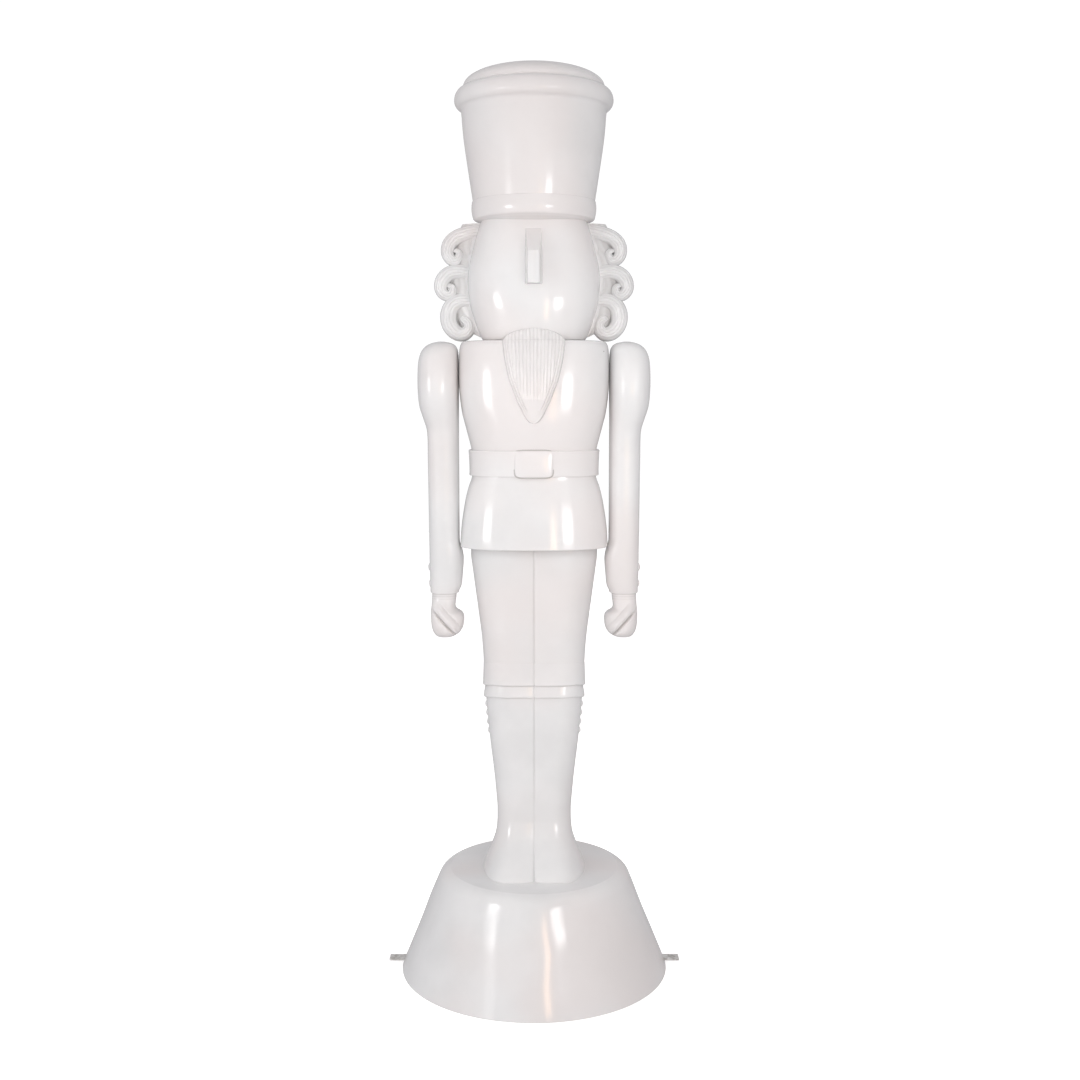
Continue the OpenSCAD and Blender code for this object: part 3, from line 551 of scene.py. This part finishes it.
# Height, inner side, outer side, half depth
ARM = [
    [571, 152.6, 210.6, 29.5], [576, 151.4, 210.8, 30], [584, 147.5, 210.5, 31.5], [605, 145, 211.5, 33],
    [640, 142.5, 212, 34], [655, 144.5, 212, 34], [673, 150, 212.2, 34], [690, 150.8, 212.3, 34.3],
    [785, 150.8, 213, 36], [845, 150.8, 213.5, 38], [885, 150.8, 213.8, 40], [902, 150.8, 215.5, 43.5],
    [920, 150.8, 221, 51], [945, 150.6, 228.8, 59.5], [975, 150.4, 232, 64], [1015, 150.4, 232, 64],
    [1040, 150.6, 229.5, 61], [1057, 152, 223, 54], [1067, 157, 213, 43], [1072, 166, 202, 28],
    [1074.5, 178, 191, 9]
]
ARM_SQUARE = 2.4
SLEEVE_BUTTON_HEIGHTS = [622, 589]


def arm(side):
    """The arm's outline at each height, a squared oval about the line midway between its inner and outer
    side. Its lower end turns in to a shallow mouth for the hand."""
    rows = np.concatenate([
        np.linspace(571, 700, 50), np.linspace(702, 1040, 110),
        1040 + 34.5 * np.sin(np.linspace(0.04, 1.57, 30))
    ])
    inner, outer, depth = flow(ARM, rows).T
    x, y = squared((outer - inner) / 2, depth, depth, ARM_SQUARE, 200)
    x = side * (x + ((inner + outer) / 2)[:, None])
    grid = np.stack([x, y, DECK + rows[:, None] + 0 * x], axis=2)
    middle = grid[0].mean(axis=0)
    mouth = np.stack([
        middle + (grid[0] - middle) * share + [0, 0, lift]
        for share, lift in ((0.86, 6), (0.9, 0.6), (0.97, -0.6))
    ])
    return np.concatenate([mouth, grid])


for side, word in ((1, "left"), (-1, "right")):
    fit(skin(f"arm_{word}", arm(side)), FIGURE_GELCOAT, "gelcoat", f"arm_{word}")
    places = [(side, flow(ARM, h)[1] - 0.6, h) for h in SLEEVE_BUTTON_HEIGHTS]
    name = f"sleeve_buttons_{word}"
    fit(domes(name, places, 7.5, 3.6), FIGURE_GELCOAT, "gelcoat", name)

# ---- Hands ---------------------------------------------------------------------------------------
# Each hand is a solid casting pushed up into the sleeve and bonded: a closed fist with the thumb laid
# slantwise across the front of the curled fingers.

# Height, inner side, outer side, half depth
FIST = [
    [479, 176, 190, 12], [481, 165, 197, 21], [485.5, 156, 202, 28], [491, 150, 205.5, 32.5],
    [499, 145, 208, 35], [508, 143, 209.3, 36], [519, 142.5, 210, 36.5], [526, 144, 210, 36],
    [531, 148.5, 210, 35], [535, 155.5, 209.8, 33.5], [540, 159.5, 209, 31.5], [550, 159.5, 208, 28.5],
    [560, 158, 207.5, 26.5], [576, 157, 207, 26]
]
FIST_SQUARE = 2.7
# Where the thumb starts, as distance from the middle and height, and the way it points
THUMB_ROOT, THUMB_WAY = (199.6, 531), (-0.671, -0.742)
# Distance of each crease between the fingers from the fist's middle, forward being negative
FINGER_CREASES = (-13, 3, 18)


def bell(value, width):
    """A smooth hump, 1 at zero and nearly gone at twice the width."""
    return np.exp(-(value / width) ** 2)


def hand(side):
    """The fist's outline at each height, with the thumb, its crease and the finger creases worked into it,
    and painted shade in those creases and in three lines round the wrist. Along and across are distances down
    the thumb's line and away from it."""
    rows = np.concatenate([np.linspace(479, 486, 14), np.linspace(486.6, 576, 120)])
    inner, outer, depth = flow(FIST, rows).T
    x, y = squared((outer - inner) / 2, depth, depth, FIST_SQUARE, 260)
    centre = ((inner + outer) / 2)[:, None]
    x = x + centre
    h = rows[:, None] + 0 * x
    from_root, above_root = x - THUMB_ROOT[0], h - THUMB_ROOT[1]
    across = from_root * THUMB_WAY[1] - above_root * THUMB_WAY[0]
    along = from_root * THUMB_WAY[0] + above_root * THUMB_WAY[1]
    facing = np.clip(-y / 20, 0, 1) ** 1.3
    length = 1 / (1 + np.exp(-(along + 4) / 4)) / (1 + np.exp((along - 66) / 2.5))
    thumb = (6.5 * bell(across - 9.5, 7.5) - 5.5 * bell(across, 2.2) - 1.4 * bell(across - 20, 2)) * length
    knuckle = 3.5 * bell(across + 14, 11) * bell(along - 36, 24)
    sides = (1 - facing) * np.clip((528 - h) / 14, 0, 1)
    creases = sum(bell(y - place, 1.3) for place in FINGER_CREASES)
    x = centre + (x - centre) * (1 - 0.075 * creases * sides)
    y = y - (thumb + knuckle) * facing
    painted_shade = bell(across, 2) * length * facing + 0.7 * creases * sides
    painted_shade = np.clip(painted_shade + 0.2 * bell(across - 20, 1.5) * length * facing, 0, 1)
    # Painted shade: three dark lines round the wrist, one under the sleeve's end and two below it, with no
    # groove modelled under them.
    wrist = bell(h - 569.8, 1.3) + 0.5 * bell(h - 564.5, 0.9) + 0.35 * bell(h - 559.5, 0.9)
    painted_shade = np.maximum(painted_shade, wrist)
    return np.stack([side * x, y, DECK + h], axis=2), painted_shade


for side, word in ((1, "left"), (-1, "right")):
    fist, crease_shade = hand(side)
    fit(skin(f"hand_{word}", fist, recess_shade=0.6 * crease_shade), FIGURE_GELCOAT, "gelcoat", f"hand_{word}")

# ---- Head ----------------------------------------------------------------------------------------
# The head is a blank egg, widest low down, moulded in two halves and open at the top inside the hat.
# It has no eyes, ears or mouth: only the nose and the beard are bonded to its front.

# Height, half width, depth to the front, depth to the back
HEAD = [
    [1074.6, 96, 76, 84], [1077, 101, 80, 88], [1082, 105, 83.5, 92], [1092, 109.5, 87.5, 97],
    [1117, 118.5, 92.5, 103], [1148, 127, 96, 109], [1186, 131, 97.3, 112], [1215, 129.5, 96.3, 112],
    [1254, 121, 93, 106], [1293, 110, 87.5, 98], [1317, 101, 83, 92]
]
HEAD_SQUARE = 2.3


def head_skin(heights, off=0.0, columns=260):
    """The head's outline at each height, grown by off."""
    sizes = flow(HEAD, np.asarray(heights, float).ravel())
    x, y = squared(*(sizes[:, i] + np.ravel(off) for i in range(3)), HEAD_SQUARE, columns)
    return np.stack([x, y, DECK + np.reshape(heights, (-1, 1)) + 0 * x], axis=2)


head_rows = np.concatenate([
    1074.6 + 21.4 * (1 - np.cos(np.linspace(0, 1.57, 20))), np.linspace(1098, 1317, 110)
])
fit(skin("head", head_skin(head_rows)), FIGURE_GELCOAT, "gelcoat", "head_front_shell", "head_back_shell")


def face_front(x, height):
    """How far forward the face stands at x."""
    width, front, _ = np.moveaxis(flow(HEAD, height), -1, 0)
    return front * np.clip(1 - np.abs(x / width) ** HEAD_SQUARE, 0, 1) ** (1 / HEAD_SQUARE)


# ---- Nose ----------------------------------------------------------------------------------------
# The nose is a plain wedge bonded to the face: its top slopes forward from the brow to an upright front,
# its sides open out towards the face, and its edges are slightly broken.

BRIDGE, FRONT_HIGH, FRONT_LOW = 1286, 1240, 1180
NOSE_REACH, NOSE_HALF, ROOT_HALF, ROOT_TOP_HALF = 131, 11.2, 17.5, 15.5

nose_points = np.array([
    [side * half, -reach, DECK + height]
    for half, reach, height in (
        (ROOT_HALF, face_front(ROOT_HALF, FRONT_LOW) - 4, FRONT_LOW), (NOSE_HALF, NOSE_REACH, FRONT_LOW),
        (NOSE_HALF, NOSE_REACH, FRONT_HIGH), (ROOT_TOP_HALF, face_front(0, BRIDGE) + 1, BRIDGE),
        (ROOT_TOP_HALF, face_front(0, BRIDGE) - 6, BRIDGE),
        (ROOT_HALF, face_front(ROOT_HALF, FRONT_HIGH) - 4, FRONT_HIGH)
    )
    for side in (-1, 1)
])
nose_faces = [
    (0, 1, 3, 2), (2, 3, 5, 4), (4, 5, 7, 6), (6, 7, 9, 8), (8, 9, 11, 10), (10, 11, 1, 0),
    (0, 2, 4, 10), (4, 6, 8, 10), (1, 11, 5, 3), (5, 11, 9, 7)
]
nose_mesh = bpy.data.meshes.new("nose")
nose_mesh.from_pydata((nose_points / 1000).tolist(), [], nose_faces)
nose_mesh.attributes.new("recess_shade", "FLOAT", "POINT")
nose = bpy.data.objects.new("nose_skin", nose_mesh)
bpy.context.scene.collection.objects.link(nose)
rounding = nose.modifiers.new("broken_edges", "BEVEL")
rounding.width, rounding.segments, rounding.limit_method = 0.0016, 3, "ANGLE"
rounding.harden_normals = True
nose_mesh.shade_smooth()
fit(nose, FIGURE_GELCOAT, "gelcoat", "nose")

# ---- Beard ---------------------------------------------------------------------------------------
# The beard is a long tongue hanging from under the chin over the chest, carved with fine upright strands.
# Two or three strands follow its edge almost to the point, where it is left smooth.

# Height, half width
BEARD = [
    [914, 3], [915.5, 8], [920, 13], [929, 19], [940, 24.5], [954, 31.5], [975, 39.5], [998, 48], [1033, 56],
    [1058, 59.5], [1072, 60.5], [1080, 57], [1086, 49], [1091, 38], [1095, 22], [1096.5, 6]
]
STRAND, EDGE_STRAND, EDGE_BAND = 7.0, 5.2, 13
BEARD_EDGE, BEARD_SWELL, STRAND_DEPTH = 5.5, 12, 1.6


def step(value, low, high):
    """0 below low, 1 above high, and a smooth rise between them."""
    t = np.clip((value - low) / (high - low), 0, 1)
    return t * t * (3 - 2 * t)


def strands(place, spacing):
    """Depth of parallel grooves at a place: a round-topped strand, then a narrow groove."""
    return (1 - np.abs(np.sin(np.pi * place / spacing))) ** 1.6


def beard():
    """Front: the surface behind it plus a swell across its width, less the strands. Back: buried in that
    surface. Each row goes from side to side along the front and returns along the back."""
    rows = np.concatenate([
        914 + 20 * np.linspace(0, 1, 30) ** 1.6, np.linspace(935, 1070, 110), np.linspace(1071, 1096.5, 40)
    ])
    half = flow(BEARD, rows)[:, :1]
    share = np.sin(np.linspace(-1, 1, 250) * 1.35) / np.sin(1.35)
    x, h = half * share, rows[:, None] + 0 * share
    chest = np.where(h < 1074, chest_front(x, h), 0)
    chin = np.where(h > 1077, face_front(x, np.maximum(h, 1077)), 0)
    behind = np.maximum(np.maximum(chest, chin), 86 - 0.1 * np.abs(x))
    swell = np.sqrt(np.clip(1 - share**2, 0, 1)) * np.minimum(1, np.minimum((h - 905) / 55, (1112 - h) / 34))
    edge = half - np.abs(x)
    by_edge = 1 - step(edge, EDGE_BAND - 1.5, EDGE_BAND + 1)
    low_end = 946 + 22 * np.abs(x / 40) + 3 * np.sin(x * 1.7)
    inner = strands(x / (1 + 0.0012 * (h - 1060)), STRAND) * (1 - by_edge) * step(h, low_end, low_end + 26)
    outer = strands(edge, EDGE_STRAND) * by_edge * step(h, 926, 950) * step(1090 - h, -4, 10)
    outer = np.where(h > 1066, strands(x, STRAND) * by_edge, outer)
    groove = np.clip(inner + outer, 0, 1) * step(edge, 0.2, 1.8)
    rim = (BEARD_EDGE + BEARD_SWELL * swell) * np.sqrt(np.clip(edge / 3, 0, 1))
    front = behind + np.maximum(rim, 0) - STRAND_DEPTH * groove
    there = np.stack([x, -front, DECK + h], axis=2)
    back = np.stack([x, -(behind - 3), DECK + h], axis=2)[:, ::-1]
    return np.concatenate([there, back], axis=1), np.concatenate([groove, 0 * groove], axis=1)


beard_grid, beard_shade = beard()
# The beard's grooves are darkened with painted shade.
fit(skin("beard", beard_grid, recess_shade=0.22 * beard_shade), FIGURE_GELCOAT, "gelcoat", "beard")

# ---- Hair ----------------------------------------------------------------------------------------
# Three curled locks stand out from each side of the head, each a combed rope of hair that winds in to an eye.
# Behind them a combed mass of hair wraps the back of the head from side to side.

# The line of each lock, seen from the front: distance from the middle, height, half thickness
LOCKS = {
    "top": [
        (106, 1292, 15), (133, 1287, 15), (155, 1279, 14.5), (168, 1266, 14.5), (171.5, 1250, 13.5),
        (166, 1238, 12), (156, 1234, 11), (149.5, 1240, 9.5), (149, 1248, 8.5), (154, 1251.5, 7),
        (157, 1248, 5)
    ],
    "middle": [
        (122, 1208, 15), (150, 1213, 15), (170, 1208, 15), (182, 1195, 15), (185.5, 1180, 13.5),
        (179.5, 1169, 12), (169.5, 1166, 11), (163, 1172, 9.5), (163, 1180, 8.5), (168, 1183.5, 7),
        (171, 1180, 5)
    ],
    "bottom": [
        (112, 1153, 14), (144, 1156, 15), (163, 1146, 16), (170.5, 1127, 17), (168, 1108, 16.5),
        (157, 1094, 15.5), (142, 1090, 14.5), (131, 1098, 13), (130, 1110, 12), (138, 1118, 10.5),
        (145, 1113, 8)
    ]
}
LOCK_MIDDLE_Y, LOCK_DEPTH, COMBING = 12, 23, 5


def lock(points, side):
    """A combed rope: an oval section carried along the smoothed line through its points, square to it.
    Grooves run along it, evenly spaced across its width, and its depth lessens with its thickness."""
    rows = np.linspace(0, len(points) - 1.0, 230)
    table = [[i, *point] for i, point in enumerate(points)]
    line = flow(table, rows)
    kernel = np.hanning(13) / np.hanning(13).sum()
    padded = np.pad(line, ((6, 6), (0, 0)), mode="reflect", reflect_type="odd")
    x, h, half = (np.convolve(padded[:, i], kernel, mode="valid")[:, None] for i in range(3))
    run_x, run_h = np.gradient(x[:, 0])[:, None], np.gradient(h[:, 0])[:, None]
    length = np.hypot(run_x, run_h)
    angle = (np.arange(168) + 0.5) * 2 * np.pi / 168
    wide, deep = np.cos(angle), np.sin(angle)
    end = np.sqrt(np.clip(1 - ((rows / rows[-1] - 0.97) / 0.03).clip(0, 1) ** 2, 0.02, 1))[:, None]
    depth = (8 + (LOCK_DEPTH - 8) * np.sqrt(half / 15)) * end
    groove = strands(wide * half - half, 2 * half / COMBING) * np.abs(deep) ** 0.5
    cut = 1.5 * groove * np.clip(half / 10, 0.35, 1)
    spread = half * np.sign(wide) * np.abs(wide) ** 0.9 * end
    grid = np.stack([
        side * (x + spread * run_h / length),
        LOCK_MIDDLE_Y + np.sign(deep) * (depth * np.abs(deep) ** 0.8 - cut),
        DECK + h - spread * run_x / length
    ], axis=2)
    return grid, groove


for side, word in ((1, "left"), (-1, "right")):
    for place, points in LOCKS.items():
        name = f"hair_{place}_{word}"
        rope, combing = lock(points, side)
        # The grooves along each lock are darkened with painted shade.
        fit(skin(name, rope, recess_shade=0.16 * combing), FIGURE_GELCOAT, "gelcoat", name)


def back_hair():
    """The head's outline grown outwards, more at its two side edges, with wavy upright grooves pressed into
    it, and painted shade in those grooves and along its two side edges. Each row goes round the back and
    returns along the inside."""
    rows = np.concatenate([1084 + 8 * (1 - np.cos(np.linspace(0, 1.57, 8))), np.linspace(1093, 1306, 90)])
    turn = np.radians(np.linspace(-3, 183, 420))
    width, _, back = (column[:, None] for column in flow(HEAD, rows).T)
    h = rows[:, None] + 0 * turn
    edge = np.minimum(turn, np.pi - turn)
    flare = 27 * bell(edge - 0.2, 0.3) * step(h, 1084, 1110)
    ends = np.minimum(step(edge, -0.06, 0.1), step(h, 1082, 1096))
    sway = 0.035 * np.sin((h - 1080) / 26) + 0.012 * np.sin((h - 1080) / 9 + 8 * turn)
    groove = strands((turn + sway) * 120, 6.2)
    off = (13 + flare) * np.sqrt(np.clip(ends, 0.05, 1)) - 2 * groove

    def around(grown):
        """The head's outline, grown by a distance."""
        across = np.abs(np.cos(turn) / (width + grown)) ** HEAD_SQUARE
        reach = (across + np.abs(np.sin(turn) / (back + grown)) ** HEAD_SQUARE) ** (-1 / HEAD_SQUARE)
        return np.stack([reach * np.cos(turn), reach * np.sin(turn), DECK + h], axis=2)

    outer, inner = around(off), around(-4)[:, ::-1]
    # Painted shade in the grooves, heavier at the two side edges where the hair lies behind the locks.
    painted_shade = np.clip(groove + 0.8 * bell(edge - 0.1, 0.2), 0, 1)
    return np.concatenate([outer, inner], axis=1), np.concatenate([painted_shade, 0 * painted_shade], axis=1)


hair_grid, hair_shade = back_hair()
fit(skin("back_hair", hair_grid, recess_shade=0.4 * hair_shade), FIGURE_GELCOAT, "gelcoat", "back_hair")

# ---- Hat -----------------------------------------------------------------------------------------
# The hat is a tall turned shako: a flat band round its foot, a wall that opens out upwards, a rolled rim,
# and a low crown set inside the rim behind a fine groove.

BAND_LOW, BAND_HIGH, BAND_R = 1312, 1347, 122.5
RIM_H, RIM_R, RIM_OUT, RIM_LOW, RIM_HIGH = 1539.5, 141, 15, 16, 21
GROOVE_H, GROOVE_R = 1563, 139.5
CROWN_SQUARE = 2.2
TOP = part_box("hat_crown")[1].z * 1000 - DECK
# Height, radius of the wall
HAT = [
    [1346, 120.3], [1380, 125.5], [1414, 130.6], [1448, 135.6], [1471, 138.5], [1494, 140.6], [1509, 141.6]
]

wall_rows = np.linspace(HAT[0][0], HAT[-1][0], 60)
wall = np.stack([flow(HAT, wall_rows)[:, 0], wall_rows], axis=1)
bead = [
    [RIM_R + RIM_OUT * np.cos(t), RIM_H + (RIM_LOW if t < 0 else RIM_HIGH) * np.sin(t)]
    for t in np.radians(np.linspace(-58, 72, 52))
]
fillet = path([(141.7, 1510, 0), (143, 1523, 7), (*bead[0], 0)], step=2)[1:-1]
over_rim = path([
    (*bead[-1], 0), (142.4, 1562, 5), (GROOVE_R + 0.8, GROOVE_H - 0.5, 0.6), (GROOVE_R - 3, GROOVE_H - 3, 0),
    (40, GROOVE_H - 3, 0)
])[1:]
foot = path([(1, 1319, 0), (BAND_R - 6, 1319, 1), (BAND_R - 5, HAT[0][0] - 1, 2), (HAT[0][1], HAT[0][0], 0)])
hat_line = np.vstack([wall, fillet, bead, over_rim]) + [0, DECK]
hat_line = np.vstack([foot[:-1] + [0, DECK], hat_line])
fit(skin("hat_shell", turned(hat_line)), FIGURE_GELCOAT, "gelcoat", "hat_shell")

band_line = path([
    (82, 1306, 0), (86, 1303, 0), (107, BAND_LOW - 4, 14), (BAND_R - 3, BAND_LOW, 5),
    (BAND_R + 2.1, (BAND_LOW + BAND_HIGH) / 2, 60),
    (BAND_R - 0.6, BAND_HIGH, 1.2), (BAND_R - 7, BAND_HIGH - 0.5, 0), (80, BAND_HIGH - 8, 0)
], step=3) + [0, DECK]
fit(skin("hat_band", turned(band_line), poles=(False, False)), FIGURE_GELCOAT, "gelcoat", "hat_band")

arc = np.linspace(0, np.pi / 2, 60)
crown_line = np.stack([
    (GROOVE_R - 0.6) * np.cos(arc) ** (2 / CROWN_SQUARE),
    GROOVE_H + 1 + (TOP - GROOVE_H - 1) * np.sin(arc) ** (2 / CROWN_SQUARE)
], axis=1)
crown_foot = [[GROOVE_R - 8, GROOVE_H - 6], [GROOVE_R - 1.6, GROOVE_H - 1.5]]
crown_line = np.vstack([crown_foot, crown_line[:-1]]) + [0, DECK]
fit(skin("hat_crown", turned(crown_line)), FIGURE_GELCOAT, "gelcoat", "hat_crown")

# ---- Studio --------------------------------------------------------------------------------------
# A white floor and a white surround, with two softboxes a little below head height on either side of the
# camera. A tall warm strip light stands to its right, a dim low lamp to its left, and two fills
# near it give no highlight.

CAMERA = (0.012, -2.72, 1.18)
CAMERA_DOWN = 6.05
SURROUND_R = 11

floor_mesh = bpy.data.meshes.new("studio_floor")
floor_mesh.from_pydata([(-9, -9, 0), (9, -9, 0), (9, 9, 0), (-9, 9, 0)], [], [(0, 1, 2, 3)])
floor = bpy.data.objects.new("studio_floor", floor_mesh)
bpy.context.scene.collection.objects.link(floor)
white = bpy.data.materials.new("painted_floor_white")
white.use_nodes = True
white_surface = white.node_tree.nodes["Principled BSDF"]
white_surface.inputs["Base Color"].default_value = linear("F4F2F0")
white_surface.inputs["Roughness"].default_value = 0.7
white_surface.inputs["Emission Color"].default_value = linear("FFFFFF")
white_surface.inputs["Emission Strength"].default_value = 0.62
floor_mesh.materials.append(white)
floor.visible_diffuse = floor.visible_glossy = False

sphere_angle = np.linspace(0.02, np.pi - 0.02, 24)
dome_line = np.stack([np.sin(sphere_angle), -np.cos(sphere_angle)], axis=1) * SURROUND_R * 1000
surround = skin("studio_surround", turned(dome_line, 48))
glow = bpy.data.materials.new("surround_white")
glow.use_nodes = True
glow_surface = glow.node_tree.nodes["Principled BSDF"]
glow_surface.inputs["Base Color"].default_value = (0, 0, 0, 1)
glow_surface.inputs["Emission Color"].default_value = linear("FFFFFF")
glow_surface.inputs["Emission Strength"].default_value = 1.0
surround.data.materials.append(glow)
for ray in ("diffuse", "glossy", "transmission", "volume_scatter", "shadow"):
    setattr(surround, f"visible_{ray}", False)

# Room light: a soft grey that is brighter in front and to the figure's right than behind and to its left
world = bpy.data.worlds.new("studio")
bpy.context.scene.world = world
world.use_nodes = True
room = world.node_tree
toward = add(room, "TexCoord").outputs["Generated"]
bright_way = {0: toward, 1: (-0.35, -0.9, 0.1)}
lit_side = add(room, "VectorMath", bright_way, operation="DOT_PRODUCT").outputs["Value"]
room_colour = mix(room, ramp(room, lit_side, -1.0, 1.0), linear("BCBABC"), linear("DBDADC"))
room.links.new(room_colour, room.nodes["Background"].inputs["Color"])
room.nodes["Background"].inputs["Strength"].default_value = 1.0


def softbox(name, azimuth, distance, low, high, width, radiance, colour):
    """A rectangular softbox facing the figure, turned azimuth degrees to the camera's right of the front."""
    lamp = bpy.data.lights.new(name, "AREA")
    lamp.shape, lamp.size, lamp.size_y = "RECTANGLE", width, high - low
    lamp.energy = radiance * np.pi * width * (high - low)
    lamp.color = linear(colour)[:3]
    made = bpy.data.objects.new(name, lamp)
    a = np.radians(azimuth)
    made.location = (distance * np.sin(a), -distance * np.cos(a), (low + high) / 2)
    made.rotation_euler = (np.pi / 2, 0, a)
    made.visible_camera = False
    bpy.context.scene.collection.objects.link(made)


softbox("softbox_left", -46, 2.4, 0.93, 1.27, 0.55, 11.0, "FFFEFD")
softbox("softbox_right", 26.5, 2.4, 0.92, 1.25, 0.5, 11.0, "FFFEFD")
softbox("strip_warm", 11.5, 2.5, 0.66, 1.2, 0.2, 7.5, "FFD2A6")
softbox("lamp_low_left", -38, 2.5, 0.45, 0.92, 0.4, 1.5, "FFFFFF")


def fill(name, height, aim, power, spread):
    """A lamp near the camera that gives soft light and no highlight, aimed at a height of the figure."""
    lamp = bpy.data.lights.new(name, "AREA")
    lamp.size, lamp.energy, lamp.spread = 0.5, power, np.radians(spread)
    made = bpy.data.objects.new(name, lamp)
    made.location = (0.1, -2.4, height)
    made.rotation_euler = (np.pi / 2 - np.arctan2(height - aim, 2.4), 0, 0.04)
    made.visible_camera = made.visible_glossy = False
    bpy.context.scene.collection.objects.link(made)


fill("fill_low", 2.1, 0.25, 0.5, 40)
fill("fill_high", 1.5, 1.3, 0.6, 42)

camera = bpy.data.cameras.new("camera")
camera.lens, camera.sensor_width = 45, 36
viewer = bpy.data.objects.new("camera", camera)
viewer.location = CAMERA
viewer.rotation_euler = (np.radians(90 - CAMERA_DOWN), 0, 0)
bpy.context.scene.collection.objects.link(viewer)
bpy.context.scene.camera = viewer
bpy.context.scene.view_settings.view_transform = "Standard"
